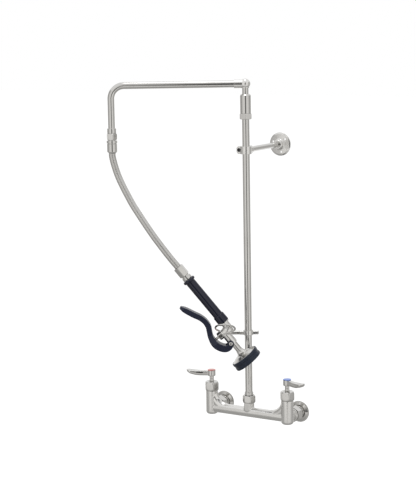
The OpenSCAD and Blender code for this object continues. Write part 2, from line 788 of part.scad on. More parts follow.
module hose() color(chrome) at_arm() {
    points = [for (i = [0 : hose_count - 1])
        let (side = unit(cross([0, 1, 0], hose_way(i))), front = cross(hose_way(i), side))
        for (k = [0 : hose_sides - 1]) let (a = 360 * k / hose_sides)
            hose_points[i] + hose_r * (side * cos(a) + front * sin(a))];
    walls = [for (i = [0 : hose_count - 2], k = [0 : hose_sides - 1]) let (
        a = i * hose_sides + k, b = i * hose_sides + (k + 1) % hose_sides)
        each [[a, b, a + hose_sides], [b, b + hose_sides, a + hose_sides]]];
    first = [for (k = [hose_sides - 1 : -1 : 0]) k];
    last = [for (k = [0 : hose_sides - 1]) (hose_count - 1) * hose_sides + k];
    polyhedron(points, concat([first], walls, [last]), convexity = 6);
}

module hose_coupling() color(chrome) at_spray() translate([0, 0, coupling_z0]) difference() {
    hex_nut(coupling_af, coupling_h, coupling_chamfer, coupling_turn);
    translate([0, 0, -cut]) cylinder(r = neck_r + run_gap, h = coupling_h);
    translate([0, 0, head_clear - face_gap]) cylinder(r = coupling_chamber_r, h = coupling_chamber_h);
    cylinder(r = hose_bore_r, h = coupling_h + cut);
}

// ---- Grip ----

module handle_tube() color(chrome) at_spray() difference() {
    union() {
        translate([0, 0, -tube_tail]) cylinder(r = tube_r, h = tube_tail + knuckle_z0 - 0.5);
        cylinder(r = neck_r, h = coupling_z0 + head_clear + head_flange_h);
        translate([0, 0, coupling_z0 + head_clear]) cylinder(r = head_flange_r, h = head_flange_h);
    }
    translate([0, 0, -tube_tail - cut]) cylinder(r = tube_bore_r, h = 2 * grip_len);
}

module knuckle_ring() color(chrome) at_spray() translate([0, 0, knuckle_z0]) difference() {
    rotate_extrude() polygon([
        [0, 0], [knuckle_r - 1, 0], [knuckle_r, 1], [knuckle_r, 7], [knuckle_r - 1, 8],
        [knuckle_r - 2.2, 8], [knuckle_r - 2.2, knuckle_h], [0, knuckle_h]
    ]);
    translate([0, 0, -cut]) cylinder(r = neck_r + thread_gap, h = knuckle_h + 2 * cut);
}

module grip() color(navy) at_spray() difference() {
    union() {
        translate([0, 0, collar_len]) cylinder(r = grip_r, h = grip_len);
        translate([0, 0, grip_top]) rotate_extrude() polygon(concat(
            [[0, 0], [grip_flange_r - 3, 0]],
            [for (a = [-75 : 15 : 75]) [
                grip_flange_r - 3 + 3 * cos(a), grip_flange_h / 2 + (grip_flange_h / 2) * sin(a)]],
            [[0, grip_flange_h]]
        ));
    }
    translate([0, 0, collar_len - cut])
        cylinder(r = tube_r + thread_gap, h = grip_len + grip_flange_h + 2 * cut);
}

module grip_collar() color(navy) at_spray() difference() {
    rotate_extrude() polygon([
        [0, 0], [collar_d / 2 - 0.6, 0], [collar_d / 2, 0.8], [collar_d / 2 - 0.7, collar_len - 0.8],
        [collar_d / 2 - 1.3, collar_len], [0, collar_len]
    ]);
    translate([0, 0, -cut]) cylinder(r = tube_r + thread_gap, h = collar_len + 2 * cut);
}

// ---- Spray valve ----

module valve_body() color(casting) at_spray() difference() {
    union() {
        translate([0, 0, -body_flange_h]) cylinder(r = flange_r, h = body_flange_h);
        translate([0, 0, bonnet_z + 3]) cylinder(r = body_neck_r, h = -bonnet_z - 4);
        translate([0, 0, bonnet_z]) rotate([0, 90, 0]) rotate_extrude() polygon([
            [0, bulb_x - bulb_r], [bulb_r * 0.5, bulb_x - bulb_r], [bulb_r * 0.87, bulb_x - bulb_r * 0.6],
            [bulb_r, bulb_x - 1], [bulb_r, bulb_x + 3], [boss_r + 0.4, boss_x - 3], [0, boss_x - 3]
        ]);
        translate([3, 0, bonnet_z]) rotate([0, 90, 0]) cylinder(r = boss_r, h = boss_x - 3);
        translate([nozzle_off, 0, sleeve_z]) cylinder(r = sleeve_r, h = sleeve_top - sleeve_z);
    }
    translate([0, 0, -tube_tail - face_gap]) cylinder(r = tube_r + thread_gap, h = tube_tail + cut);
    translate([0, 0, bonnet_z + 2]) cylinder(r = tube_bore_r - 0.5, h = -bonnet_z);
    translate([chamber_x0, 0, bonnet_z]) rotate([0, 90, 0])
        cylinder(r = valve_bore_r, h = boss_x - chamber_x0 + cut);
    translate([nozzle_off, 0, sleeve_z - cut]) cylinder(r = nozzle_bore_r, h = bonnet_z - sleeve_z - cut);
    translate([boss_x, 0, bonnet_z]) rotate([0, 90, 0])
        cylinder(r = vbonnet_af / sqrt(3) + face_gap, h = sleeve_r);
    translate([nozzle_off, 0, sleeve_z - cut])
        cylinder(r = nozzle_r + thread_gap, h = nozzle_z0 - sleeve_z + cut + face_gap);
    for (y = [-1, 1]) translate([pivot[0], y * (sleeve_r + cut), pivot[1]]) rotate([90 * y, 0, 0])
        cylinder(r = pivot_r + thread_gap, h = pivot_depth + cut);
}

module valve_bonnet() color(chrome) at_spray() translate([boss_x, 0, bonnet_z]) rotate([0, 90, 0])
difference() {
    union() {
        translate([0, 0, face_gap / 3]) hex_nut(vbonnet_af, vbonnet_x1 - boss_x, nut_chamfer, 0);
        translate([0, 0, -vbonnet_tail]) cylinder(r = valve_bore_r - thread_gap, h = vbonnet_tail + cut);
    }
    translate([0, 0, -vbonnet_tail - cut]) cylinder(r = plunger_r + run_gap, h = 2 * vbonnet_x1);
}

module plunger() color(chrome) at_spray() translate([plunger_x0, 0, bonnet_z]) rotate([0, 90, 0])
    rotate_extrude() polygon([
        [0, 0], [plunger_r, 0], [plunger_r, plunger_x1 - plunger_x0 - 1],
        [plunger_r - 1, plunger_x1 - plunger_x0], [0, plunger_x1 - plunger_x0]
    ]);

module valve_disc() color(dark) at_spray() translate([plunger_x0, 0, bonnet_z]) rotate([0, 90, 0])
    tube(disc_r, plunger_r + thread_gap, disc_t);

module valve_spring() color(chrome) at_spray() translate([plunger_x0 + disc_t + face_gap, 0, bonnet_z])
    rotate([0, 90, 0]) tube(spring_r, spring_r - spring_t, spring_len);

// ---- Squeeze lever ----

// Smooth curve through the lever's points: value of the Catmull-Rom spline between points i and i + 1
function spline(p, i, t) = let (
    n = len(p) - 1, a = p[max(i - 1, 0)], b = p[i], c = p[min(i + 1, n)], d = p[min(i + 2, n)])
    0.5 * (2 * b + (c - a) * t + (2 * a - 5 * b + 4 * c - d) * t * t + (3 * b - a - 3 * c + d) * t * t * t);

lever_curve = [for (i = [0 : len(lever_line) - 2], k = [0 : lever_steps - 1])
    spline(lever_line, i, k / lever_steps)];
lever_last = len(lever_curve) - 1;
function flat(p) = [p[0], p[1]];
function lever_across(i) = let (
    way = unit(flat(lever_curve[min(i + 1, lever_last)]) - flat(lever_curve[max(i - 1, 0)])))
    [way[1], -way[0]];

module lever_side() {
    polygon(concat(
        [for (i = [0 : lever_last]) flat(lever_curve[i]) + lever_across(i) * lever_curve[i][2]],
        [for (i = [lever_last : -1 : 0]) flat(lever_curve[i]) - lever_across(i) * lever_curve[i][2]]
    ));
    translate(pivot) circle(r = lever_line[len(lever_line) - 1][2]);
}

// Half width of the lever at each height, from the tip of the paddle down to the fork
lever_plan = [[92.6, 3], [89, 7], [82, lever_w / 2], [50, lever_w / 2], [20, lever_w / 2 - 1.5],
    [-5, lever_w / 2 - 1], [lever_hub_z, lever_hub_w / 2], [-64, lever_hub_w / 2]];

module lever() color(navy) at_spray() difference() {
    intersection() {
        translate([0, lever_hub_w / 2, 0]) rotate([90, 0, 0]) linear_extrude(lever_hub_w) lever_side();
        rotate([0, 90, 0]) linear_extrude(80) polygon(concat(
            [for (p = lever_plan) [-p[0], p[1]]],
            [for (i = [len(lever_plan) - 1 : -1 : 0]) [-lever_plan[i][0], -lever_plan[i][1]]]
        ));
    }
    translate([0, -sleeve_r - fork_gap, fork_z0]) cube([fork_x, 2 * (sleeve_r + fork_gap), fork_h]);
    translate([pivot[0], -lever_hub_w, pivot[1]]) to_wall()
        cylinder(r = pivot_r + run_gap, h = 2 * lever_hub_w);
}

module lever_screws() color(chrome) at_spray() for (y = [-1, 1])
    translate([pivot[0], y * (lever_hub_w / 2 + face_gap + pivot_head_h), pivot[1]]) rotate([90 * y, 0, 0]) {
        cylinder(r = pivot_head_r, h = pivot_head_h);
        cylinder(r = pivot_r, h = pivot_head_h + face_gap + lever_hub_w / 2 - sleeve_r + pivot_depth - 0.2);
    }

module hold_ring() color(chrome) at_spray() translate(ring_at) rotate(ring_turns)
    translate([0, 0, -ring_t / 2])
    bevel_ring(ring_d / 2, ring_d / 2 - ring_band, ring_t, 0.5);

// ---- Nozzle and spray head ----

module nozzle_pipe() color(chrome) at_nozzle() translate([0, 0, pipe_foot])
    tube(nozzle_r, nozzle_bore_r, nozzle_z0 - pipe_foot);

module spray_head() color(chrome) at_nozzle() difference() {
    rotate_extrude() polygon([
        [0, head_top], [nozzle_r + 0.9, head_top], [nozzle_r + 1.2, -76.5], [nozzle_r + 2.6, -80],
        [14.5, -82.8],
        [21.5, -84.8], [head_r, head_z1], [head_r, head_end], [0, head_end]
    ]);
    translate([0, 0, pipe_foot - face_gap]) cylinder(r = nozzle_r + thread_gap, h = 3);
    translate([0, 0, head_end - cut]) cylinder(r = nozzle_bore_r, h = head_top + 3 - head_end);
    translate([0, 0, head_end - cut]) cylinder(r = head_r - head_wall, h = head_floor - head_end + cut);
}

module spray_plate() color(dark) at_nozzle() translate([0, 0, plate_z]) difference() {
    cylinder(r = head_r - head_wall - thread_gap, h = plate_t);
    for (k = [0 : plate_holes - 1]) rotate([0, 0, 360 * k / plate_holes]) translate([plate_ring_r, 0, -cut])
        cylinder(r = plate_hole_r, h = plate_t + 2 * cut);
    translate([0, 0, -cut]) cylinder(r = screw_r + thread_gap, h = plate_t + 2 * cut);
}

module spray_screw() color(chrome) at_nozzle() {
    translate([0, 0, plate_z - plate_screw_h]) cylinder(r = plate_screw_r, h = plate_screw_h - run_gap);
    translate([0, 0, plate_z - 2]) cylinder(r = screw_r, h = 8);
}

module bumper() color(navy) at_nozzle() translate([0, 0, head_z1 - bumper_h]) rotate_extrude() polygon([
    [head_r - bumper_lip, 0], [bumper_d / 2 - bumper_bevel, 0], [bumper_d / 2, bumper_bevel],
    [bumper_d / 2, bumper_h - bumper_bevel], [bumper_d / 2 - bumper_bevel, bumper_h],
    [head_r + thread_gap, bumper_h], [head_r + thread_gap, bumper_lip_h], [head_r - bumper_lip, bumper_lip_h]
]);

// ---- Assembly ----

faucet_body();
inlet_flange(-1);  // inlet_flange_hot
inlet_flange(1);  // inlet_flange_cold
inlet_nut(-1);  // inlet_nut_hot
inlet_nut(1);  // inlet_nut_cold
inlet_washers();
bonnet(-1);  // bonnet_hot
bonnet(1);  // bonnet_cold
cartridge(-1);  // cartridge_hot
cartridge(1);  // cartridge_cold
stem(-1);  // stem_hot
stem(1);  // stem_cold
handle(-1);  // handle_hot
handle(1);  // handle_cold
handle_screw(-1);  // handle_screw_hot
handle_screw(1);  // handle_screw_cold
color(red) index_button(-1);  // index_hot
color(blue) index_button(1);  // index_cold
union_nut();
riser_collar();
riser_pipe();
bracket_clamp();
bracket_screw();
bracket_rod();
bracket_flange();
hook_clamp();
hook_finger();
hook_screw();
swivel_nut();
swivel_body();
swivel_spindle();
swivel_seals();
elbow();
arm_tube();
arm_ferrule();
drop_nut();
hose_fitting();
hose_washer();
hose();
hose_coupling();
knuckle_ring();
handle_tube();
grip();
grip_collar();
valve_body();
valve_bonnet();
valve_spring();
plunger();
valve_disc();
lever();
lever_screws();
hold_ring();
nozzle_pipe();
spray_head();
bumper();
spray_plate();
spray_screw();
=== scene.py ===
"""A wall-mounted pre-rinse faucet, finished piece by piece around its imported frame.

Lengths in the sections are millimetres in a piece's own frame, and each mesh is written in metres.
"""

import json
import math

import bmesh
import bpy
import numpy as np
from mathutils import Matrix


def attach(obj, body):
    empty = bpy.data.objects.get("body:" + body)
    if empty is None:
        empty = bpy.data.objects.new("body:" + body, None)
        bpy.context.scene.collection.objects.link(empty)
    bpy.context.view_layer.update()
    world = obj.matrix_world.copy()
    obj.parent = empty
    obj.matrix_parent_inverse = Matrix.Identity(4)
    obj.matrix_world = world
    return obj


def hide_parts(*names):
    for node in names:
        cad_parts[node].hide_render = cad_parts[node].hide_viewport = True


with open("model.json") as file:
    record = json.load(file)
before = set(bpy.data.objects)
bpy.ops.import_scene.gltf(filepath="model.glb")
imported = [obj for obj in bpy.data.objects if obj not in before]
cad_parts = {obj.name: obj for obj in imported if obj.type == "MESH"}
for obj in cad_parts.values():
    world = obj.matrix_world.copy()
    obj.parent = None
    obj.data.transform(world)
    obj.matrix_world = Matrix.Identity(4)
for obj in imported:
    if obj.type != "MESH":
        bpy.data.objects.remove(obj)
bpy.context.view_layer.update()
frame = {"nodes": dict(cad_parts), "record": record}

# ---------------------------------------------------------------------------------------------
# Mixing body: one brass casting, polished and chromed. A bar joins two valve bodies, a curved
# web rises to each of them, two shanks run back to the wall and a hexagon boss carries the riser.
# ---------------------------------------------------------------------------------------------
MM = 0.001
VALVE_X = 101.6
BODY_OFF = 60.0
BAR_R = 11.75
VALVE_R = 14.5
VALVE_TOP = 40.8
VALVE_BOTTOM = 16.2
FOOT_ROUND = 11.0
WEB_R = 10.5
WEB_HOLLOW_R = VALVE_TOP - BAR_R - 1.0
WEB_RIDGE = 1.3
RIDGE_SPREAD = 0.3
TEE_AF = 24.0
TEE_TOP = 22.9
BOSS_FLARE = 0.43
NIPPLE_R = 11.0
NIPPLE_TOP = 34.9
SHANK_R = 12.0
SHANK_LEN = 30.0
SHOULDER_R = 15.4
SHOULDER_AT = 21.0
SHOULDER_H = 4.0

body_of_node = {n: b for b, ns in frame["record"]["behaviour"]["bodies"].items() for n in ns}


def shift(x, y, z):
    """A move by (x, y, z)."""
    m = np.eye(4)
    m[:3, 3] = (x, y, z)
    return m


def turn(axis, degrees):
    """A right-handed turn about the x, y or z axis through the origin."""
    a = math.radians(degrees)
    i, j = {"x": (1, 2), "y": (2, 0), "z": (0, 1)}[axis]
    m = np.eye(4)
    m[i, i] = m[j, j] = math.cos(a)
    m[i, j], m[j, i] = -math.sin(a), math.sin(a)
    return m


def moved(points, place):
    """Points carried into the object's frame: place times (x, y, z, 1)."""
    return points @ place[:3, :3].T + place[:3, 3]


def rounded(corners, steps=5, closed=False):
    """An outline with rounded corners, from (across, up, radius) corners.

    A corner's arc touches both sides radius / tan(half angle) from the corner, and its centre is on
    the bisector, radius / sin(half angle) away. The arc is cut to fit the shorter side.
    """
    p = np.array([c[:2] for c in corners], float)
    radii = [c[2] if len(c) > 2 else 0.0 for c in corners]
    out = []
    for i, corner in enumerate(p):
        if radii[i] <= 0 or (not closed and i in (0, len(p) - 1)):
            out.append(corner)
            continue
        u, v = p[i - 1] - corner, p[(i + 1) % len(p)] - corner
        lu, lv = np.linalg.norm(u), np.linalg.norm(v)
        u, v = u / lu, v / lv
        half = math.acos(np.clip(u @ v, -1, 1)) / 2
        if half > math.pi / 2 - 0.02:
            out.append(corner)
            continue
        reach = min(radii[i] / math.tan(half), 0.48 * lu, 0.48 * lv)
        r = reach * math.tan(half)
        centre = corner + (u + v) / np.linalg.norm(u + v) * r / math.sin(half)
        a, b = corner + u * reach - centre, corner + v * reach - centre
        sweep = math.pi - 2 * half
        t = np.linspace(0, 1, steps + 1)[:, None]
        out.extend(centre + (np.sin((1 - t) * sweep) * a + np.sin(t * sweep) * b) / math.sin(sweep))
    return np.array(out)


def turned(outline, sides=96):
    """A turned surface: the point at angle a is (across cos a, across sin a, up)."""
    a = np.linspace(0, 2 * math.pi, sides, endpoint=False)
    r, z = outline[:, :1], outline[:, 1:2]
    return np.stack([r * np.cos(a), r * np.sin(a), z + 0 * a], axis=2)


def grid(rings, loop=False):
    """Points and four-cornered faces of a grid that closes round each ring.

    With loop the last ring joins the first, as on a bored piece. Otherwise a cap closes each end.
    """
    n, m = rings.shape[:2]
    points = rings.reshape(-1, 3)
    i, k = np.meshgrid(np.arange(n if loop else n - 1), np.arange(m), indexing="ij")
    above, beside = (i + 1) % n, (k + 1) % m
    faces = np.stack([i * m + k, i * m + beside, above * m + beside, above * m + k], axis=2).reshape(-1, 4)
    if loop:
        return points, faces
    ends = np.array([rings[0].mean(0), rings[-1].mean(0)])
    k = np.arange(m)
    after, pole = (k + 1) % m, np.full(m, n * m)
    first = np.stack([k, after, pole, pole], axis=1)
    last = np.stack([(n - 1) * m + k, (n - 1) * m + after, pole + 1, pole + 1], axis=1)
    return np.concatenate([points, ends]), np.concatenate([faces, first, last])


def closed_mesh(name, points, faces):
    """A mesh of closed surfaces given in millimetres, doubled points merged and faces outwards."""
    mesh = bpy.data.meshes.new(name)
    corners = [list(dict.fromkeys(f)) for f in faces.tolist()]
    mesh.from_pydata((points * MM).tolist(), [], corners)
    bm = bmesh.new()
    bm.from_mesh(mesh)
    bmesh.ops.remove_doubles(bm, verts=bm.verts, dist=2e-7)
    bmesh.ops.recalc_face_normals(bm, faces=bm.faces)
    bm.to_mesh(mesh)
    bm.free()
    return mesh


def linked(name, mesh):
    """An object of a mesh, shaded smooth, in the scene."""
    mesh.shade_smooth()
    obj = bpy.data.objects.new(name, mesh)
    bpy.context.scene.collection.objects.link(obj)
    return obj


def shell(name, points, faces):
    """A piece of one closed surface, given in millimetres."""
    return linked(name, closed_mesh(name, points, faces))


def joined(parts):
    """The points and faces of several closed surfaces as one pair."""
    starts = np.cumsum([0] + [len(points) for points, _ in parts[:-1]])
    faces = [f + start for (_, f), start in zip(parts, starts)]
    return np.concatenate([points for points, _ in parts]), np.concatenate(faces)


def fit_out(obj, node, material, even=True):
    """Gives a piece its finish and body and lets it stand for a node.

    With even its normals are weighted by face area, so flats stay flat beside small edge arcs.
    """
    if even:
        obj.modifiers.new("flat faces", "WEIGHTED_NORMAL").weight = 50
    obj.data.materials.clear()
    obj.data.materials.append(material)
    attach(obj, body_of_node[node])
    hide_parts(node)
    return obj


def cast(name, parts, voxel, passes):
    """One skin round overlapping closed parts, with a fillet at every seam, as a casting has.

    The union is remeshed on a grid of voxel mm. Then each point goes half way to the mean of its
    neighbours and 0.53 of the way back out, passes times, which rounds edges and keeps the size.
    """
    rough = shell(name, *joined(parts))
    skin = rough.modifiers.new("skin", "REMESH")
    skin.mode = "VOXEL"
    skin.voxel_size = voxel * MM
    made = bpy.data.meshes.new_from_object(rough.evaluated_get(bpy.context.evaluated_depsgraph_get()))
    bpy.data.objects.remove(rough)
    made.name = name
    co = np.empty(len(made.vertices) * 3)
    made.vertices.foreach_get("co", co)
    co = co.reshape(-1, 3)
    ends = np.empty(len(made.edges) * 2, int)
    made.edges.foreach_get("vertices", ends)
    a, b = np.concatenate([ends[::2], ends[1::2]]), np.concatenate([ends[1::2], ends[::2]])
    degree = np.bincount(a, minlength=len(co))[:, None]
    for _ in range(passes):
        for part_way in (0.5, -0.53):
            total = np.stack([np.bincount(a, co[b, c], minlength=len(co)) for c in range(3)], axis=1)
            co = co + part_way * (total / degree - co)
    made.vertices.foreach_set("co", co.ravel())
    return linked(name, made)


def new_material(name):
    """An empty node material with its Principled shader and a reader of Object coordinates."""
    material = bpy.data.materials.new(name)
    material.use_nodes = True
    tree = material.node_tree
    shader = tree.nodes["Principled BSDF"]
    where = tree.nodes.new("ShaderNodeTexCoord").outputs["Object"]
    return material, tree, shader, where


def calc(tree, kind, a, b=None, c=None):
    """The output of a Math node, whose inputs are sockets or numbers."""
    node = tree.nodes.new("ShaderNodeMath")
    node.operation = kind
    for socket, value in zip(node.inputs, (a, b, c)):
        if isinstance(value, bpy.types.NodeSocket):
            tree.links.new(value, socket)
        elif value is not None:
            socket.default_value = value
    return node.outputs[0]


def noise(tree, where, scale, detail=2.0, stretch=None):
    """Noise of a scale per metre, from 0 to 1, stretched along an axis where asked."""
    if stretch:
        mapping = tree.nodes.new("ShaderNodeMapping")
        mapping.inputs["Scale"].default_value = stretch
        tree.links.new(where, mapping.inputs["Vector"])
        where = mapping.outputs[0]
    node = tree.nodes.new("ShaderNodeTexNoise")
    node.inputs["Scale"].default_value = scale
    node.inputs["Detail"].default_value = detail
    tree.links.new(where, node.inputs["Vector"])
    return node.outputs["Fac"]


def polish_group():
    """Handling marks on polished metal: a smudge mask, a value for roughness and a height.

    Height is low waves left by the buffing wheel plus fine hairlines, and Smudge is a soft mask
    where fingers and water have dulled the finish.
    """
    group = bpy.data.node_groups.new("buffed metal", "ShaderNodeTree")
    face = group.interface
    face.new_socket("Vector", in_out="INPUT", socket_type="NodeSocketVector")
    for name in ("Waves", "Hairlines", "Base Roughness", "Dulling"):
        face.new_socket(name, in_out="INPUT", socket_type="NodeSocketFloat")
    for name in ("Smudge", "Roughness", "Height"):
        face.new_socket(name, in_out="OUTPUT", socket_type="NodeSocketFloat")
    start, end = group.nodes.new("NodeGroupInput"), group.nodes.new("NodeGroupOutput")
    where = start.outputs["Vector"]
    wave = noise(group, where, scale=55, detail=1)
    hair = noise(group, where, scale=900, detail=3, stretch=(1, 1, 0.06))
    smudge = noise(group, where, scale=38, detail=5)
    clean_below, gain, knee = 0.45, 3.0, 0.2
    smudge = calc(group, "MULTIPLY", calc(group, "SUBTRACT", smudge, clean_below), gain)
    smudge = calc(group, "SMOOTH_MIN", smudge, 1.0, knee)
    smudge = calc(group, "MAXIMUM", smudge, 0.0)
    group.links.new(smudge, end.inputs["Smudge"])
    dull = calc(group, "MULTIPLY", smudge, start.outputs["Dulling"])
    hair_roughness, hair_height, least_roughness = 0.05, 0.03, 0.02
    fine = calc(group, "MULTIPLY", calc(group, "SUBTRACT", hair, 0.5), hair_roughness)
    rough = calc(group, "ADD", calc(group, "ADD", start.outputs["Base Roughness"], dull), fine)
    group.links.new(calc(group, "MAXIMUM", rough, least_roughness), end.inputs["Roughness"])
    low = calc(group, "MULTIPLY", wave, start.outputs["Waves"])
    high = calc(group, "MULTIPLY", calc(group, "MULTIPLY", hair, hair_height), start.outputs["Hairlines"])
    group.links.new(calc(group, "ADD", low, high), end.inputs["Height"])
    return group


def tint(tree, mask, clean, marked):
    """A colour between two, by a mask from 0 to 1."""
    mix = tree.nodes.new("ShaderNodeMix")
    mix.data_type = "RGBA"
    mix.inputs[6].default_value = (*clean, 1)
    mix.inputs[7].default_value = (*marked, 1)
    tree.links.new(mask, mix.inputs[0])
    return mix.outputs[2]


def bump(tree, shader, height, distance, strength=1.0):
    """Tilts the shader's normal by a height map, whose unit is distance metres."""
    node = tree.nodes.new("ShaderNodeBump")
    node.inputs["Distance"].default_value = distance
    node.inputs["Strength"].default_value = strength
    tree.links.new(height, node.inputs["Height"])
    tree.links.new(node.outputs[0], shader.inputs["Normal"])


buffed = polish_group()


def plated(name, clean, marked, roughness, dulling, waves, hairlines):
    """Chrome plate: its colour and roughness follow the smudges, its normal the buffing marks."""
    material, tree, shader, where = new_material(name)
    marks = tree.nodes.new("ShaderNodeGroup")
    marks.node_tree = buffed
    tree.links.new(where, marks.inputs["Vector"])
    marks.inputs["Waves"].default_value = waves
    marks.inputs["Hairlines"].default_value = hairlines
    marks.inputs["Base Roughness"].default_value = roughness
    marks.inputs["Dulling"].default_value = dulling
    shader.inputs["Metallic"].default_value = 1.0
    tree.links.new(tint(tree, marks.outputs["Smudge"], clean, marked), shader.inputs["Base Color"])
    tree.links.new(marks.outputs["Roughness"], shader.inputs["Roughness"])
    bump(tree, shader, marks.outputs["Height"], distance=0.00025)
    return material


cast_chrome = plated(
    "cast chrome", clean=(0.72, 0.712, 0.695), marked=(0.68, 0.672, 0.655),
    roughness=0.20, dulling=0.05, waves=0.22, hairlines=0.12)


def cylinder(r, h, edge=0.0):
    """Points and faces of a closed round bar of radius r, from 0 up to h."""
    return grid(turned(rounded([(0, 0), (r, 0, edge), (r, h, edge), (0, h)])))


def at(place, part):
    """A part's points carried to its place."""
    return moved(part[0], place), part[1]


def hexed(outline, af, turned_by, soft=0.22, sides=96):
    """A turned outline cut to a hexagon: the radius is a soft minimum of the outline and the flats.

    The flats stand at (af / 2) / cos(angle from the middle of the flat). The soft minimum of p and
    q is (p + q - sqrt((p - q)^2 + 4 soft^2)) / 2, which leaves a small radius where the two meet.
    What lies 3 mm or more inside the flats, such as a bore, stays round.
    """
    a = np.linspace(0, 2 * math.pi, sides, endpoint=False)
    flats = af / 2 / np.cos(np.mod(a, math.pi / 3) - math.pi / 6)
    flats = np.minimum(flats, af / math.sqrt(3) - soft)
    r = outline[:, :1]
    inside = af / 2 - 3
    r = np.where(r < inside, r, (r + flats - np.sqrt((r - flats) ** 2 + 4 * soft**2)) / 2)
    a = a + math.radians(turned_by)
    return np.stack([r * np.cos(a), r * np.sin(a), outline[:, 1:2] + 0 * a], axis=2)


def swept_arc(centre, bend, section, start, end, steps=28):
    """A section carried round an arc in the xz plane: its first axis points away from the centre."""
    t = np.radians(np.linspace(start, end, steps))[:, None]
    out, across = section[:, 0], section[:, 1]
    r = bend + out
    return np.stack([centre[0] + r * np.cos(t), across + 0 * t, centre[1] + r * np.sin(t)], axis=2)


axis = shift(0, -BODY_OFF, 0)


def valve(side):
    """The place of a valve: -1 is hot, 1 is cold."""
    return shift(side * VALVE_X, -BODY_OFF, 0)


round_angles = np.linspace(0, 2 * math.pi, 48, endpoint=False)
ridge = WEB_RIDGE * np.exp(-((np.abs(round_angles - math.pi) / RIDGE_SPREAD) ** 2))
web_section = np.stack([(WEB_R + ridge) * np.cos(round_angles), WEB_R * np.sin(round_angles)], axis=1)
parts = [at(axis @ shift(-VALVE_X, 0, 0) @ turn("y", 90), cylinder(BAR_R, 2 * VALVE_X))]
for side in (-1, 1):
    foot = rounded(
        [(0, -VALVE_BOTTOM), (VALVE_R, -VALVE_BOTTOM, FOOT_ROUND), (VALVE_R, VALVE_TOP, 0.8),
         (0, VALVE_TOP)], 10)
    parts.append(at(valve(side), grid(turned(foot))))
    web = grid(swept_arc((0, BAR_R + WEB_HOLLOW_R), WEB_HOLLOW_R + WEB_R, web_section, -90, 0))
    mirrored = np.array([side, 1, 1])
    web = (web[0] * mirrored + (side * (VALVE_X - VALVE_R - WEB_HOLLOW_R), 0, 0), web[1])
    parts.append(at(axis, web))
    back = valve(side) @ turn("x", -90)
    parts.append(at(back, cylinder(SHANK_R, SHANK_LEN)))
    parts.append(at(back @ shift(0, 0, SHOULDER_AT), cylinder(SHOULDER_R, SHOULDER_H, 0.5)))
boss_up = np.linspace(0, TEE_TOP, 12)
boss_side = np.stack([BAR_R - 1 + BOSS_FLARE * boss_up, boss_up], axis=1)
boss = np.concatenate([[(0, 0)], boss_side, [(0, TEE_TOP)]])
parts.append(at(axis, grid(hexed(boss, TEE_AF, 0, 0.05))))
parts.append(at(axis, cylinder(NIPPLE_R, NIPPLE_TOP)))
casting = cast("body_casting", parts, voxel=0.85, passes=7)
fit_out(casting, "faucet_body", cast_chrome, even=False)

# ---------------------------------------------------------------------------------------------
# Inlets: a turned wall flange and a hexagon coupling nut on each shank, with a fibre washer
# between shank and flange. The nut draws the flange's hub up to the shank.
# ---------------------------------------------------------------------------------------------
FLANGE_R = 25.25
FLANGE_HUB_R = 13.0
FLANGE_FRONT = 33.0
FLANGE_ROOT = 55.0
FLANGE_LIP = 58.0
SOCKET_R = 10.2
SOCKET_END = 43.0
WATERWAY_R = 7.0
INLET_NUT_AF = 33.5
chrome = plated(
    "polished chrome", clean=(0.61, 0.602, 0.585), marked=(0.57, 0.562, 0.545),
    roughness=0.11, dulling=0.04, waves=0.15, hairlines=0.12)


def nut_outline(af, low, high, chamfer, bore, top_bore=None, crowned=False):
    """A bored nut's outline, whose corners a cone of height chamfer turns off at both ends.

    On a crowned nut a quarter ellipse stands for the cone, so that its ends are domed.
    """
    wide = af / math.sqrt(3) + 0.2
    face = af / 2 - 0.2 * chamfer
    t = np.linspace(0, 1, 9)
    out = np.sin(t * math.pi / 2) if crowned else t
    up = 1 - np.cos(t * math.pi / 2) if crowned else t
    rise = np.stack([face + (wide - face) * out, low + chamfer * up], axis=1)
    fall = np.stack([rise[::-1, 0], high + low - rise[::-1, 1]], axis=1)
    top = bore if top_bore is None else top_bore
    return np.concatenate([[[bore, low]], rise, fall, [[top, high]]])


for side, name in ((-1, "hot"), (1, "cold")):
    back = valve(side) @ turn("x", -90)
    flange = rounded(
        [(WATERWAY_R, FLANGE_FRONT, 0.2), (FLANGE_HUB_R, FLANGE_FRONT, 0.6), (FLANGE_HUB_R, FLANGE_ROOT, 1.5),
         (FLANGE_R - 8, FLANGE_ROOT, 1.0), (FLANGE_R - 2, FLANGE_LIP, 1.0), (FLANGE_R, FLANGE_LIP, 0.6),
         (FLANGE_R, BODY_OFF, 0.2), (SOCKET_R, BODY_OFF, 0.3), (SOCKET_R, SOCKET_END, 0.2),
         (WATERWAY_R, SOCKET_END, 0.2)], closed=True)
    piece = shell(name + "_wall_flange", *at(back, grid(turned(flange), loop=True)))
    fit_out(piece, "inlet_flange_" + name, chrome)
    nut = nut_outline(INLET_NUT_AF, low=25.3, high=44, chamfer=2.5, bore=13.1)
    piece = shell(name + "_coupling_nut", *at(back, grid(hexed(nut, INLET_NUT_AF, 30), loop=True)))
    fit_out(piece, "inlet_nut_" + name, chrome)


def dulled(name, colour, marked, roughness, grain, depth, coat=0.0, gloss=0.5):
    """Plastic, rubber or dark steel: fine grain in the normal, soft changes of colour and gloss."""
    material, tree, shader, where = new_material(name)
    patches = noise(tree, where, scale=30, detail=4)
    fine = noise(tree, where, scale=grain, detail=3)
    tree.links.new(tint(tree, patches, colour, marked), shader.inputs["Base Color"])
    spread = 0.10
    varied = calc(tree, "MULTIPLY_ADD", patches, spread, roughness - spread / 2)
    tree.links.new(varied, shader.inputs["Roughness"])
    shader.inputs["Specular IOR Level"].default_value = gloss
    shader.inputs["Coat Weight"].default_value = coat
    shader.inputs["Coat Roughness"].default_value = 0.08
    bump(tree, shader, fine, depth)
    return material


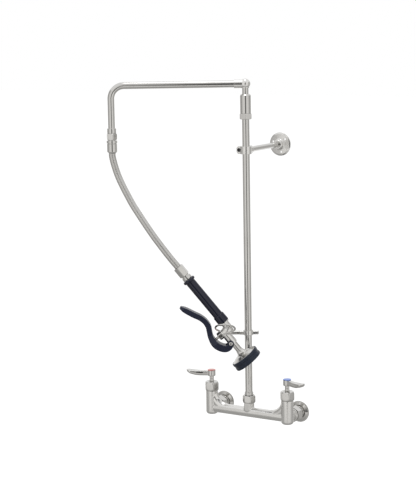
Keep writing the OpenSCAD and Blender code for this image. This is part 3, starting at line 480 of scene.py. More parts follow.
def finish_node(node, material):
    """A CAD node whose own shape is right takes its finish."""
    mesh = frame["nodes"][node].data
    mesh.materials.clear()
    mesh.materials.append(material)


black_rubber = dulled(
    "washer rubber", (0.03, 0.03, 0.03), (0.05, 0.05, 0.05), roughness=0.6, grain=2500, depth=0.00005)
finish_node("inlet_washers", black_rubber)

# ---------------------------------------------------------------------------------------------
# Valve tops, all but the cartridge of chromed brass: a large crowned hexagon bonnet screwed into
# each valve body, a turned stem that rises through it, and a quarter-turn ceramic cartridge inside.
# ---------------------------------------------------------------------------------------------
BONNET_TOP = 62.3
BONNET_AF = 30.5
BONNET_CROWN = 8.0
STEM_R = 5.3
STEM_FOOT = 45.0
STEM_TOP = 75.7
GROOVE_R = 4.9
GROOVE_Z = 69.0
ceramic = dulled(
    "cartridge ceramic", (0.80, 0.80, 0.78), (0.74, 0.74, 0.72), roughness=0.3, grain=1200, depth=0.00002)
for side, name in ((-1, "hot"), (1, "cold")):
    bonnet = nut_outline(BONNET_AF, VALVE_TOP, BONNET_TOP, BONNET_CROWN, bore=5.35, crowned=True)
    piece = shell(name + "_bonnet", *at(valve(side), grid(hexed(bonnet, BONNET_AF, 10, 0.3), loop=True)))
    fit_out(piece, "bonnet_" + name, chrome)
    stem = rounded(
        [(0, STEM_FOOT), (STEM_R, STEM_FOOT, 0.3), (STEM_R, GROOVE_Z, 0.3), (GROOVE_R, GROOVE_Z + 0.4, 0.2),
         (GROOVE_R, GROOVE_Z + 1.2, 0.2), (STEM_R, GROOVE_Z + 1.6, 0.3), (STEM_R, STEM_TOP, 0.4),
         (0, STEM_TOP)])
    piece = shell(name + "_stem", *at(valve(side), grid(turned(stem))))
    fit_out(piece, "stem_" + name, chrome)
    finish_node("cartridge_" + name, ceramic)

# ---------------------------------------------------------------------------------------------
# Handles: die-cast lever blades, scooped like a spoon on top and swept up at the tip, on a
# round hub. A screw holds each to its stem, under a red or blue index button.
# ---------------------------------------------------------------------------------------------
HUB_Z = 76.0
HUB_R = 9.5
HUB_H = 13.6
HANDLE_LEN = 60.0
HANDLE_TURN = 24.0
TIP_ROUND = 9.6
BLADE_POWER = 0.6
INDEX_R = 9.4
INDEX_SEAT_R = 8.3


def blade():
    """A lever blade along +x: a superellipse section whose width and edges follow the length.

    The half width is 5.8 mm at the hub and 9.4 mm near the tip, where it closes as a half ellipse.
    The top is hollowed across by scoop times 1 - (y / half width)^2.
    """
    straight = HANDLE_LEN - TIP_ROUND
    tip = straight + TIP_ROUND * np.sin(np.linspace(0.06, math.pi / 2, 16))
    x = np.concatenate([np.linspace(0, straight, 36), tip])
    # Each pair of lists is stations along the blade, and the half width, edge or hollow there.
    wide = np.interp(x, [0, 9, 20, 36, straight], [5.8, 5.8, 6.4, 8.4, 9.4])
    past = np.clip((x - straight) / TIP_ROUND, 0, 1)
    wide = wide * np.sqrt(np.clip(1 - past**2, 0.0004, 1))
    low = np.interp(x, [0, 25, 38, 51, 57, 60], [0.6, 0.6, 1.6, 5.2, 9.0, 12.8])
    high = np.interp(x, [0, 9.5, 27, 43, 55, 60], [13.0, 13.0, 14.0, 15.3, 16.0, 15.2])
    scoop = np.interp(x, [0, 12, 26, 46, 57, 60], [0, 0, 1.6, 3.4, 1.2, 0])
    a = np.linspace(0, 2 * math.pi, 40, endpoint=False)
    y = np.sign(np.cos(a)) * np.abs(np.cos(a)) ** BLADE_POWER
    z = np.sign(np.sin(a)) * np.abs(np.sin(a)) ** BLADE_POWER
    middle, half = (low + high)[:, None] / 2, (high - low)[:, None] / 2
    up = middle + half * z - scoop[:, None] * (1 - y**2) * (z > 0)
    return grid(np.stack([x[:, None] + 0 * y, wide[:, None] * y, up], axis=2))


def button(name, colour, marked):
    """Moulded acrylic: a clean coat over a slightly cloudy colour."""
    return dulled(name, colour, marked, roughness=0.28, grain=900, depth=0.00001, coat=0.6)


# The caps are moulded acrylic, red for hot and blue for cold.
index_finish = {
    "hot": button("red button", (0.52, 0.085, 0.06), (0.58, 0.11, 0.08)),
    "cold": button("blue button", (0.045, 0.15, 0.58), (0.06, 0.18, 0.62)),
}
for side, name in ((-1, "hot"), (1, "cold")):
    hub = rounded([(0, 0), (HUB_R - 0.8, 0, 0.6), (HUB_R, 1.4, 1.0), (HUB_R, HUB_H, 0.7), (0, HUB_H)])
    away = -HANDLE_TURN if side > 0 else 180 + HANDLE_TURN
    place = valve(side) @ shift(0, 0, HUB_Z) @ turn("z", away)
    handle_parts = [at(place, grid(turned(hub))), at(place, blade())]
    handle = cast(name + "_lever_handle", handle_parts, voxel=0.42, passes=7)
    fit_out(handle, "handle_" + name, chrome, even=False)
    top = HUB_Z + HUB_H
    cap = rounded(
        [(0, top - 1), (INDEX_SEAT_R, top - 1, 0.1), (INDEX_SEAT_R, top, 0.1), (INDEX_R, top + 0.1, 0.3),
         (INDEX_R - 0.2, top + 1.3, 0.9), (0, top + 1.75)])
    piece = shell(name + "_index", *at(valve(side), grid(turned(cap))))
    fit_out(piece, "index_" + name, index_finish[name])
    finish_node("handle_screw_" + name, chrome)

# ---------------------------------------------------------------------------------------------
# Riser: a drawn brass pipe, chromed, with a bead at its foot. A large union nut holds the bead
# down on the centre boss, and a thin collar above the nut hides the joint.
# ---------------------------------------------------------------------------------------------
RISER_R = 8.55
RISER_BORE_R = 6.25
RISER_CLEAR_R = 8.65
PIPE_FOOT = 35.2
PIPE_TOP = 715.8
BEAD_R = 11.0
BEAD_TOP = 37.6
UNION_AF = 27.5
UNION_TOP = 41.2
COLLAR_TOP = 48.7
pipe_chrome = plated(
    "drawn pipe chrome", clean=(0.61, 0.602, 0.585), marked=(0.57, 0.562, 0.545),
    roughness=0.12, dulling=0.04, waves=0.06, hairlines=0.15)


def ring_outline(outer, bore, low, high, edge):
    """A plain bored ring's outline with rounded edges."""
    corners = [(bore, low, 0.1), (outer, low, edge), (outer, high, edge), (bore, high, 0.1)]
    return rounded(corners, closed=True)


union = nut_outline(
    UNION_AF, TEE_TOP, UNION_TOP, chamfer=6.0, bore=11.1, top_bore=RISER_CLEAR_R, crowned=True)
piece = shell("riser_union", *at(axis, grid(hexed(union, UNION_AF, 15, 0.3), loop=True)))
fit_out(piece, "union_nut", chrome)
collar = ring_outline(10.2, RISER_CLEAR_R, UNION_TOP, COLLAR_TOP, edge=1.0)
piece = shell("riser_trim_ring", *at(axis, grid(turned(collar), loop=True)))
fit_out(piece, "riser_collar", chrome)
pipe = rounded(
    [(RISER_BORE_R, PIPE_FOOT), (BEAD_R, PIPE_FOOT, 0.2), (BEAD_R, BEAD_TOP, 0.2), (RISER_R, BEAD_TOP, 0.2),
     (RISER_R, PIPE_TOP, 0.3), (RISER_BORE_R, PIPE_TOP)])
piece = shell("riser", *at(axis, grid(turned(pipe), loop=True)))
fit_out(piece, "riser_pipe", pipe_chrome)

# ---------------------------------------------------------------------------------------------
# Wall bracket, of chromed brass: a split clamp round the riser with a steel socket screw through
# its ears, a rod pressed into it and a domed wall flange with a hub and three screw holes.
# ---------------------------------------------------------------------------------------------
BRACKET_Z = 616.5
ROD_R = 6.5
ROD_START = 13.0
ROD_END = 160.6


def solid_of(node):
    """A CAD node's own solid as points in millimetres and faces, for a casting to grow its skin on."""
    mesh = frame["nodes"][node].data
    co = np.empty(len(mesh.vertices) * 3)
    mesh.vertices.foreach_get("co", co)
    corners = np.empty(len(mesh.polygons) * 3, int)
    mesh.polygons.foreach_get("vertices", corners)
    return co.reshape(-1, 3) / MM, corners.reshape(-1, 3)


black_oxide = dulled(
    "black oxide steel", (0.020, 0.020, 0.022), (0.035, 0.034, 0.034),
    roughness=0.42, grain=1800, depth=0.00003)
clamp = cast("riser_clamp", [solid_of("bracket_clamp")], voxel=0.42, passes=4)
fit_out(clamp, "bracket_clamp", cast_chrome, even=False)
finish_node("bracket_screw", black_oxide)
to_wall = axis @ shift(0, 0, BRACKET_Z) @ turn("x", -90)
rod = rounded([(0, ROD_START), (ROD_R, ROD_START, 0.3), (ROD_R, ROD_END, 0.3), (0, ROD_END)])
piece = shell("bracket_bar", *at(to_wall, grid(turned(rod))))
fit_out(piece, "bracket_rod", pipe_chrome)
plate = cast("bracket_wall_flange", [solid_of("bracket_flange")], voxel=0.4, passes=14)
fit_out(plate, "bracket_flange", cast_chrome, even=False)

# ---------------------------------------------------------------------------------------------
# Finger hook: a chromed brass ring clamped on the riser by a set screw in its knob, and a round
# finger, pressed into the ring by its spigot, that the idle spray valve hangs on.
# ---------------------------------------------------------------------------------------------
HOOK_Z = 191.0
SPIGOT_R = 3.4
SPIGOT_START = 12.0
FINGER_R = 4.8
FINGER_START = 20.0
FINGER_END = 66.0
ARM_TURN = 210.0
arm = axis @ turn("z", ARM_TURN)
hook = arm @ shift(0, 0, HOOK_Z) @ turn("y", 90)
ring = cast("hook_ring", [solid_of("hook_clamp")], voxel=0.42, passes=4)
fit_out(ring, "hook_clamp", cast_chrome, even=False)
finger = rounded(
    [(0, SPIGOT_START), (SPIGOT_R, SPIGOT_START, 0.2), (SPIGOT_R, FINGER_START),
     (FINGER_R, FINGER_START, 0.3), (FINGER_R, FINGER_END, 2.2), (0, FINGER_END)])
piece = shell("hook_finger_bar", *at(hook, grid(turned(finger))))
fit_out(piece, "hook_finger", chrome)
finish_node("hook_screw", black_oxide)

# ---------------------------------------------------------------------------------------------
# Swivel, of chromed brass: a hexagon nut and a long turned barrel on top of the riser. The spindle
# turns in it on two seals, and carries a ball elbow with the socket of the arm.
# ---------------------------------------------------------------------------------------------
RISER_TOP = 687.0
SWIVEL_AF = 27.0
SWIVEL_Z = 699.9
SWIVEL_TOP = 744.1
SOCKET_FOOT = 690.3
NECK_R = 11.2
BARREL_R = 12.7
SPINDLE_R = 7.4
SPINDLE_FOOT = 721.4
SPINDLE_TOP = 763.0
ELBOW_Z = 767.1
nut = nut_outline(SWIVEL_AF, RISER_TOP, SWIVEL_Z, chamfer=1.5, bore=RISER_CLEAR_R, top_bore=11.3)
piece = shell("swivel_hex", *at(axis, grid(hexed(nut, SWIVEL_AF, 0), loop=True)))
fit_out(piece, "swivel_nut", chrome)
barrel = rounded(
    [(8.7, SOCKET_FOOT, 0.1), (NECK_R, SOCKET_FOOT, 0.2), (NECK_R, SWIVEL_Z, 0.1), (BARREL_R, SWIVEL_Z, 0.5),
     (BARREL_R, SWIVEL_TOP - 3, 0.9), (BARREL_R - 3, SWIVEL_TOP, 0.9), (SPINDLE_R + 0.1, SWIVEL_TOP, 0.2)],
    closed=True)
piece = shell("swivel_barrel", *at(axis, grid(turned(barrel), loop=True)))
fit_out(piece, "swivel_body", chrome)
spindle = rounded(
    [(0, SPINDLE_FOOT), (SPINDLE_R, SPINDLE_FOOT, 0.3), (SPINDLE_R, SPINDLE_TOP, 0.3), (0, SPINDLE_TOP)])
piece = shell("swivel_pin", *at(axis, grid(turned(spindle))))
fit_out(piece, "swivel_spindle", pipe_chrome)
finish_node("swivel_seals", black_rubber)
knee = cast("ball_elbow", [solid_of("elbow")], voxel=0.4, passes=5)
fit_out(knee, "elbow", cast_chrome, even=False)

# ---------------------------------------------------------------------------------------------
# Swing arm: one drawn brass tube, chromed and bent down at its end, with a ferrule, a nut and a
# grooved fitting that takes the hose.
# ---------------------------------------------------------------------------------------------
ARM_START = 13.0
ARM_REACH = 306.0
ARM_R = 7.95
BEND_R = 30.0
TUBE_END = 650.8
ARM_CLEAR_R = 8.05
DROP_NUT_AF = 22.0
DROP_NUT_FOOT = 644.2
FERRULE_FOOT = 658.6
FERRULE_TOP = 670.5
FITTING_R = 11.8
FITTING_RIM_R = 12.4
FITTING_BORE_R = 5.0
DROP_Z = 614.0


def tube_along(line, radius, sides=64, front=(0.0, 1.0, 0.0)):
    """A round tube along a line: each ring is across cos a + ahead sin a, square to the line's way.

    across is the cross product of a fixed front and the way, and ahead that of the way and across.
    """
    way = np.gradient(line, axis=0)
    way /= np.linalg.norm(way, axis=1, keepdims=True)
    across = np.cross(front, way)
    across /= np.linalg.norm(across, axis=1, keepdims=True)
    ahead = np.cross(way, across)
    a = np.linspace(0, 2 * math.pi, sides, endpoint=False)[None, :, None]
    return line[:, None] + radius * (across[:, None] * np.cos(a) + ahead[:, None] * np.sin(a))


level = np.linspace(ARM_START, ARM_REACH - BEND_R, 40)[:-1]
t = np.radians(np.linspace(90, 0, 40))
fall = np.linspace(ELBOW_Z - BEND_R, TUBE_END, 25)[1:]
run = np.concatenate([level, ARM_REACH - BEND_R + BEND_R * np.cos(t), ARM_REACH + 0 * fall])
rise = np.concatenate([ELBOW_Z + 0 * level, ELBOW_Z - BEND_R + BEND_R * np.sin(t), fall])
overhead = grid(tube_along(np.stack([run, 0 * run, rise], axis=1), ARM_R))
piece = shell("overhead_arm", *at(arm, overhead))
fit_out(piece, "arm_tube", pipe_chrome, even=False)
drop = arm @ shift(ARM_REACH, 0, 0)
ferrule = ring_outline(10.5, ARM_CLEAR_R, FERRULE_FOOT, FERRULE_TOP, edge=1.0)
piece = shell("arm_sleeve", *at(drop, grid(turned(ferrule), loop=True)))
fit_out(piece, "arm_ferrule", chrome)
nut = nut_outline(DROP_NUT_AF, DROP_NUT_FOOT, FERRULE_FOOT, chamfer=1.5, bore=9.1, top_bore=ARM_CLEAR_R)
piece = shell("drop_hex", *at(drop, grid(hexed(nut, DROP_NUT_AF, -12), loop=True)))
fit_out(piece, "drop_nut", chrome)
fitting = rounded(
    [(FITTING_BORE_R, DROP_Z, 0.2), (9.5, DROP_Z, 0.4), (FITTING_R, DROP_Z + 3, 1.0),
     (FITTING_R, 635, 0.4), (FITTING_R - 1, 635.3, 0.2), (FITTING_R - 1, 636.4, 0.2),
     (FITTING_RIM_R, 636.6, 0.5), (FITTING_RIM_R, 642.8, 0.6), (9, 642.8, 0.1), (9, 648.8, 0.3),
     (ARM_CLEAR_R, 648.8, 0.1), (ARM_CLEAR_R, 636.8, 0.1), (FITTING_BORE_R, 636.8, 0.1)], closed=True)
piece = shell("hose_ferrule", *at(drop, grid(turned(fitting), loop=True)))
fit_out(piece, "hose_fitting", chrome)
finish_node("hose_washer", black_rubber)

# ---------------------------------------------------------------------------------------------
# Hose: stainless wire braided round a rubber tube, fixed at both ends. It hangs from the drop
# fitting and bends round to the spray unit in one sweep.
# ---------------------------------------------------------------------------------------------
HOSE_R = 8.0
HOSE_SIDES = 48
CARRIERS = 36
BRAID_PITCH = 2.0
WIRE_RIPPLE = 0.35
# The power of the braid's painted shade, which darkens each strand towards its edges.
PAINTED_SHADE_POWER = 0.45
SPRAY_AT = (56.0, 50.0, 227.0)
SPRAY_TILT = 38.5
COUPLING_TOP = 165.0
route = [
    (306, 0, 606), (301.5, 3, 587), (294, 7, 564), (284, 12, 541.5), (272.5, 17, 519),
    (260, 23, 496.5), (245.5, 29, 474), (230.5, 35, 451.5), (215, 40, 429), (198.5, 44, 406.5),
    (182, 47.5, 385), (168.5, 49.5, 368),
]
grip_way = np.array([math.sin(math.radians(SPRAY_TILT)), 0, math.cos(math.radians(SPRAY_TILT))])
grip_end = np.array(SPRAY_AT) + grip_way * COUPLING_TOP
knots = np.array([(ARM_REACH, 0, DROP_Z), *route, grip_end + 8 * grip_way, grip_end])


def spline(points, steps):
    """A Catmull-Rom curve through the points: half of (2b + (c-a)t + (2a-5b+4c-d)t^2 + (3b-a-3c+d)t^3)."""
    p = np.concatenate([[2 * points[0] - points[1]], points, [2 * points[-1] - points[-2]]])
    a, b, c, d = (p[i : len(p) - 3 + i][:, None] for i in range(4))
    t = np.linspace(0, 1, steps, endpoint=False)[None, :, None]
    curve = 0.5 * (2 * b + (c - a) * t + (2 * a - 5 * b + 4 * c - d) * t**2 + (3 * b - a - 3 * c + d) * t**3)
    return np.concatenate([curve.reshape(-1, 3), points[-1:]])


def braid_group():
    """A one-over-one braid: two sets of strands at +-45 degrees on the cord's own UV.

    Strand a counts u + v and strand b counts u - v. Each strand is a low hump, its wires a ripple,
    and the parity of their two counts says which strand is on top. Shade is painted shade and
    painted highlight for the colour: the hump to a power, dark at a strand's edges, light on its crown.
    """
    group = bpy.data.node_groups.new("wire braid", "ShaderNodeTree")
    group.interface.new_socket("UV", in_out="INPUT", socket_type="NodeSocketVector")
    group.interface.new_socket("Height", in_out="OUTPUT", socket_type="NodeSocketFloat")
    group.interface.new_socket("Shade", in_out="OUTPUT", socket_type="NodeSocketFloat")
    start, end = group.nodes.new("NodeGroupInput"), group.nodes.new("NodeGroupOutput")
    split = group.nodes.new("ShaderNodeSeparateXYZ")
    group.links.new(start.outputs[0], split.inputs[0])
    u, v = split.outputs[0], split.outputs[1]
    counts = [calc(group, "ADD", u, v), calc(group, "SUBTRACT", u, v)]
    humps, ripples = [], []
    for count in counts:
        place = calc(group, "MULTIPLY", calc(group, "SUBTRACT", calc(group, "FRACT", count), 0.5), 2.0)
        humps.append(calc(group, "SUBTRACT", 1.0, calc(group, "MULTIPLY", place, place)))
        wave = calc(group, "SINE", calc(group, "MULTIPLY", count, 4 * math.pi))
        ripples.append(calc(group, "ABSOLUTE", wave))
    floors = calc(group, "ADD", calc(group, "FLOOR", counts[0]), calc(group, "FLOOR", counts[1]))
    top = calc(group, "ABSOLUTE", calc(group, "MODULO", floors, 2.0))
    under = calc(group, "SUBTRACT", 1.0, top)
    hump = calc(group, "MULTIPLY_ADD", humps[0], top, calc(group, "MULTIPLY", humps[1], under))
    ripple = calc(group, "MULTIPLY_ADD", ripples[0], top, calc(group, "MULTIPLY", ripples[1], under))
    height = calc(group, "ADD", hump, calc(group, "MULTIPLY", ripple, WIRE_RIPPLE))
    # Painted shade: the colour mask is dark at each strand's edges and light on its crown.
    painted_shade = calc(group, "POWER", calc(group, "MAXIMUM", hump, 0.0), PAINTED_SHADE_POWER)
    group.links.new(height, end.inputs["Height"])
    group.links.new(painted_shade, end.inputs["Shade"])
    return group


braid, tree, shader, _ = new_material("braided steel")
strands = tree.nodes.new("ShaderNodeGroup")
strands.node_tree = braid_group()
uv_reader = tree.nodes.new("ShaderNodeUVMap")
uv_reader.uv_map = "braid"
tree.links.new(uv_reader.outputs[0], strands.inputs[0])
shader.inputs["Metallic"].default_value = 1.0
shader.inputs["Roughness"].default_value = 0.22
# Painted shade and painted highlight on the wires: darker steel at each strand's edges, lighter on its crown.
wire = tint(tree, strands.outputs["Shade"], (0.36, 0.355, 0.345), (0.58, 0.572, 0.555))
tree.links.new(wire, shader.inputs["Base Color"])
bump(tree, shader, strands.outputs["Height"], distance=0.00009, strength=0.6)

hose_line = spline(knots, steps=12)
hose = shell("braided_hose", *at(arm, grid(tube_along(hose_line, HOSE_R, HOSE_SIDES))))
along = np.concatenate([[0], np.cumsum(np.linalg.norm(np.diff(hose_line, axis=0), axis=1))])
mesh = hose.data
uv_map = mesh.uv_layers.new(name="braid")
corner = np.empty(len(mesh.loops), int)
mesh.loops.foreach_get("vertex_index", corner)
ring_of = np.minimum(corner // HOSE_SIDES, len(hose_line) - 1)
uv = np.stack([(corner % HOSE_SIDES) * CARRIERS / HOSE_SIDES, along[ring_of] / BRAID_PITCH], axis=1)
corners_in = np.empty(len(mesh.polygons), int)
mesh.polygons.foreach_get("loop_total", corners_in)
face_of = np.repeat(np.arange(len(mesh.polygons)), corners_in)
widest = np.zeros(len(mesh.polygons))
np.maximum.at(widest, face_of, uv[:, 0])
uv[:, 0] += np.where((widest[face_of] - uv[:, 0]) > CARRIERS / 2, CARRIERS, 0)
uv_map.data.foreach_set("uv", uv.astype(np.float32).ravel())
fit_out(hose, "hose", braid, even=False)

# ---------------------------------------------------------------------------------------------
# Hose end, of chromed brass: a long hexagon coupling screwed to the hose, and a turned knuckle
# ring below it. The spray unit turns in them on the core tube of its grip.
# ---------------------------------------------------------------------------------------------
spray = arm @ shift(*SPRAY_AT) @ turn("y", SPRAY_TILT)
COUPLING_AF = 21.6
COUPLING_FOOT = 140.0
KNUCKLE_R = 11.3
KNUCKLE_FOOT = 129.0
KNUCKLE_TOP = 137.0
SLEEVE_TOP = 139.5
SLEEVE_R = 9.1
TUBE_CLEAR_R = 7.1
coupling = nut_outline(COUPLING_AF, COUPLING_FOOT, COUPLING_TOP, chamfer=1.2, bore=7.05, top_bore=5)
piece = shell("hose_hex", *at(spray, grid(hexed(coupling, COUPLING_AF, 20), loop=True)))
fit_out(piece, "hose_coupling", chrome)
knuckle = rounded(
    [(TUBE_CLEAR_R, KNUCKLE_FOOT, 0.1), (KNUCKLE_R - 1, KNUCKLE_FOOT, 0.4),
     (KNUCKLE_R, KNUCKLE_FOOT + 1, 0.6), (KNUCKLE_R, KNUCKLE_TOP - 1, 0.6),
     (KNUCKLE_R - 1, KNUCKLE_TOP, 0.3), (SLEEVE_R, KNUCKLE_TOP, 0.2), (SLEEVE_R, SLEEVE_TOP, 0.3),
     (TUBE_CLEAR_R, SLEEVE_TOP, 0.1)], closed=True)
piece = shell("knuckle", *at(spray, grid(turned(knuckle), loop=True)))
fit_out(piece, "knuckle_ring", chrome)
finish_node("handle_tube", pipe_chrome)

# ---------------------------------------------------------------------------------------------
# Grip: a moulded sleeve of glossy navy plastic with a rolled flange at the hose end, on a steel
# core tube, and a wider collar below it.
# ---------------------------------------------------------------------------------------------
GRIP_R = 11.4
GRIP_BORE_R = 8.1
GRIP_FOOT = 21.0
GRIP_TOP = 121.0
ROLL_R = 15.0
ROLL_TOP = GRIP_TOP + 7.5
CUFF_R = 13.7
navy = dulled(
    "navy grip plastic", (0.006, 0.007, 0.019), (0.009, 0.011, 0.026),
    roughness=0.15, grain=700, depth=0.00001, gloss=0.42)
sleeve = rounded(
    [(GRIP_BORE_R, GRIP_FOOT, 0.1), (GRIP_R, GRIP_FOOT, 0.3), (GRIP_R, GRIP_TOP, 0.8),
     (GRIP_R + 2, GRIP_TOP + 0.6, 1.2), (ROLL_R, GRIP_TOP + 2, 2.0), (ROLL_R, GRIP_TOP + 5.6, 2.0),
     (ROLL_R - 2, ROLL_TOP, 1.2), (GRIP_BORE_R, ROLL_TOP, 0.1)], closed=True)
piece = shell("grip_sleeve", *at(spray, grid(turned(sleeve), loop=True)))
fit_out(piece, "grip", navy)
cuff = rounded(
    [(GRIP_BORE_R, 0, 0.1), (CUFF_R - 0.6, 0, 0.4), (CUFF_R, 0.9, 0.6), (CUFF_R - 0.3, GRIP_FOOT - 1.4, 0.4),
     (CUFF_R - 1.3, GRIP_FOOT, 0.6), (GRIP_R + 0.2, GRIP_FOOT, 0.1), (GRIP_BORE_R, GRIP_FOOT, 0.1)],
    closed=True)
piece = shell("grip_cuff", *at(spray, grid(turned(cuff), loop=True)))
fit_out(piece, "grip_collar", navy)

# ---------------------------------------------------------------------------------------------
# Spray valve: a small chromed casting below the grip, with a hexagon bonnet in front. A plunger
# comes out of the bonnet, and a disc and a spring behind it shut the water off.
# ---------------------------------------------------------------------------------------------
SPRAY_BONNET_AF = 17.5
PLUNGER_R = 3.0
PLUNGER_START = 2.0
PLUNGER_END = 39.6
valve_cast = cast("spray_valve_casting", [solid_of("valve_body")], voxel=0.42, passes=5)
fit_out(valve_cast, "valve_body", cast_chrome, even=False)
boss_place = spray @ shift(0, 0, -20) @ turn("y", 90)
nut = nut_outline(SPRAY_BONNET_AF, low=20.1, high=31.1, chamfer=1.5, bore=3.05)
piece = shell("spray_bonnet", *at(boss_place, grid(hexed(nut, SPRAY_BONNET_AF, 0), loop=True)))
fit_out(piece, "valve_bonnet", chrome)
pin = rounded(
    [(0, PLUNGER_START), (PLUNGER_R, PLUNGER_START, 0.2), (PLUNGER_R, PLUNGER_END, 1.1), (0, PLUNGER_END)])
piece = shell("plunger_pin", *at(boss_place, grid(turned(pin))))
fit_out(piece, "plunger", chrome)
finish_node("valve_disc", black_rubber)
finish_node("valve_spring", pipe_chrome)

# ---------------------------------------------------------------------------------------------
# Squeeze lever: one navy moulding, forked round the valve at its pivot, swept out past the
# plunger and back along the grip to a paddle. Two domed pivot screws hold it.
# ---------------------------------------------------------------------------------------------
PIVOT = (17.6, -47.6)
PIVOT_R = 3.0
PIVOT_START = 8.2
LEVER_SIDE = 14.5
HEAD_R = 4.4
DRIVE_R = 2.1
satin_navy = dulled(
    "navy lever plastic", (0.012, 0.015, 0.034), (0.018, 0.022, 0.044),
    roughness=0.27, grain=900, depth=0.00003, gloss=0.30)
squeeze = cast("squeeze_lever", [solid_of("lever")], voxel=0.6, passes=16)
fit_out(squeeze, "lever", satin_navy, even=False)
screws = []
for way in (-1, 1):
    place = spray @ shift(PIVOT[0], 0, PIVOT[1]) @ turn("x", -90 * way)
    head = rounded(
        [(0, PIVOT_START), (PIVOT_R, PIVOT_START, 0.2), (PIVOT_R, LEVER_SIDE + 0.3),
         (HEAD_R, LEVER_SIDE + 0.3, 0.2), (HEAD_R - 0.1, LEVER_SIDE + 1.7, 0.7),
         (DRIVE_R + 0.1, LEVER_SIDE + 2.4, 0.3), (DRIVE_R - 0.1, LEVER_SIDE + 1.4, 0.1),
         (0, LEVER_SIDE + 1.4)])
    screws.append(at(place, grid(turned(head, 48))))
fit_out(shell("pivot_screws", *joined(screws)), "lever_screws", chrome)

# ---------------------------------------------------------------------------------------------
# Hold-down ring: a loose ring of bright steel threaded on the neck of the valve. It is drawn over
# the lever to hold it squeezed.
# ---------------------------------------------------------------------------------------------
RING_AT = (7.2, -2.1, -13.9)
RING_TURN = 44.9
RING_LEAN = -52.2
loop_place = spray @ shift(*RING_AT) @ turn("z", RING_TURN) @ turn("y", RING_LEAN)
loop = ring_outline(outer=24.7, bore=20.8, low=-1.5, high=1.5, edge=1.0)
piece = shell("hold_down_ring", *at(loop_place, grid(turned(loop, 128), loop=True)))
fit_out(piece, "hold_ring", chrome)

# ---------------------------------------------------------------------------------------------
# Spray head: a pipe that carries a flared steel bell, a rubber bumper stretched over its rim,
# and a rubber jet plate held by a screw.
# ---------------------------------------------------------------------------------------------
NOZZLE_OFFSET = 13.9
NOZZLE_R = 7.5
NOZZLE_BORE_R = 5.2
BELL_R = 31.4
BELL_INSIDE_R = 29.0
BELL_SHOULDER = -89.4
TYRE_R = 34.0
TYRE_GROOVE_R = 33.1
TYRE_BORE_R = 31.6
TYRE_LIP_R = 27.5
nozzle = spray @ shift(NOZZLE_OFFSET, 0, 0)
satin = plated(
    "satin steel", clean=(0.64, 0.632, 0.615), marked=(0.60, 0.592, 0.575),
    roughness=0.22, dulling=0.05, waves=0.15, hairlines=0.15)
stub = ring_outline(NOZZLE_R, NOZZLE_BORE_R, low=-74, high=-46, edge=0.2)
piece = shell("nozzle_stub", *at(nozzle, grid(turned(stub), loop=True)))
fit_out(piece, "nozzle_pipe", chrome)
bell = rounded(
    [(NOZZLE_BORE_R, -73.8, 0.2), (8.4, -73, 0.6), (8.7, -76.5, 2.0), (10.1, -80, 3.0),
     (14.5, -82.8, 3.0), (21.5, -84.8, 3.0), (BELL_R - 0.1, BELL_SHOULDER, 0.8), (BELL_R, -105.7, 0.3),
     (BELL_INSIDE_R, -105.7, 0.2), (BELL_INSIDE_R, -92, 1.0), (NOZZLE_BORE_R, -92, 0.2)], closed=True)
piece = shell("spray_bell", *at(nozzle, grid(turned(bell, 128), loop=True)))
fit_out(piece, "spray_head", satin)
tyre = rounded(
    [(TYRE_LIP_R, -108.9, 0.3), (TYRE_R - 1.2, -108.9, 1.0), (TYRE_R, -107.6, 1.2), (TYRE_R, -102.6, 0.5),
     (TYRE_GROOVE_R, -101.9, 0.4), (TYRE_GROOVE_R, -96.5, 0.4), (TYRE_R, -95.8, 0.5), (TYRE_R, -90.8, 1.2),
     (TYRE_R - 1.2, BELL_SHOULDER, 1.0), (TYRE_BORE_R, BELL_SHOULDER, 0.2), (TYRE_BORE_R, -106.3, 0.2),
     (TYRE_LIP_R, -106.3, 0.2)], closed=True)
rubber = dulled(
    "navy bumper rubber", (0.008, 0.013, 0.026), (0.012, 0.019, 0.036),
    roughness=0.36, grain=1500, depth=0.00004, gloss=0.30)
piece = shell("rubber_bumper", *at(nozzle, grid(turned(tyre, 128), loop=True)))
fit_out(piece, "bumper", rubber)
finish_node("spray_plate", black_rubber)
finish_node("spray_screw", chrome)

# ---------------------------------------------------------------------------------------------
# Studio: a white floor well below the faucet, a white surround and soft lamps above and beside it.
# Cards with a dark band stand in front, at both sides and below. Only mirroring metal sees them.
# ---------------------------------------------------------------------------------------------
FLOOR_Z = -1.2
FLOOR_GLOW = 0.72
LOW_CARD_Z = -0.43
END_CARD_AWAY = 3.9
SIDE_CARD_AWAY = 2.6
WORLD_LIGHT = 0.62
CAMERA_AZIMUTH = 31.42
scene = bpy.context.scene
scene.view_settings.view_transform = "Standard"


def white_seen(tree):
    """1 for rays from the camera, mirrors and glass, which see the white surround, else 0."""
    path = tree.nodes.new("ShaderNodeLightPath")
    seen = calc(tree, "MAXIMUM", path.outputs["Is Camera Ray"], path.outputs["Is Glossy Ray"])
    return calc(tree, "MAXIMUM", seen, path.outputs["Is Transmission Ray"])


world = bpy.data.worlds.new("studio")
world.use_nodes = True
scene.world = world
surround = world.node_tree.nodes["Background"]
surround.inputs["Color"].default_value = (1, 1, 1, 1)
strength = calc(world.node_tree, "MULTIPLY_ADD", white_seen(world.node_tree), 1.0 - WORLD_LIGHT, WORLD_LIGHT)
world.node_tree.links.new(strength, surround.inputs["Strength"])


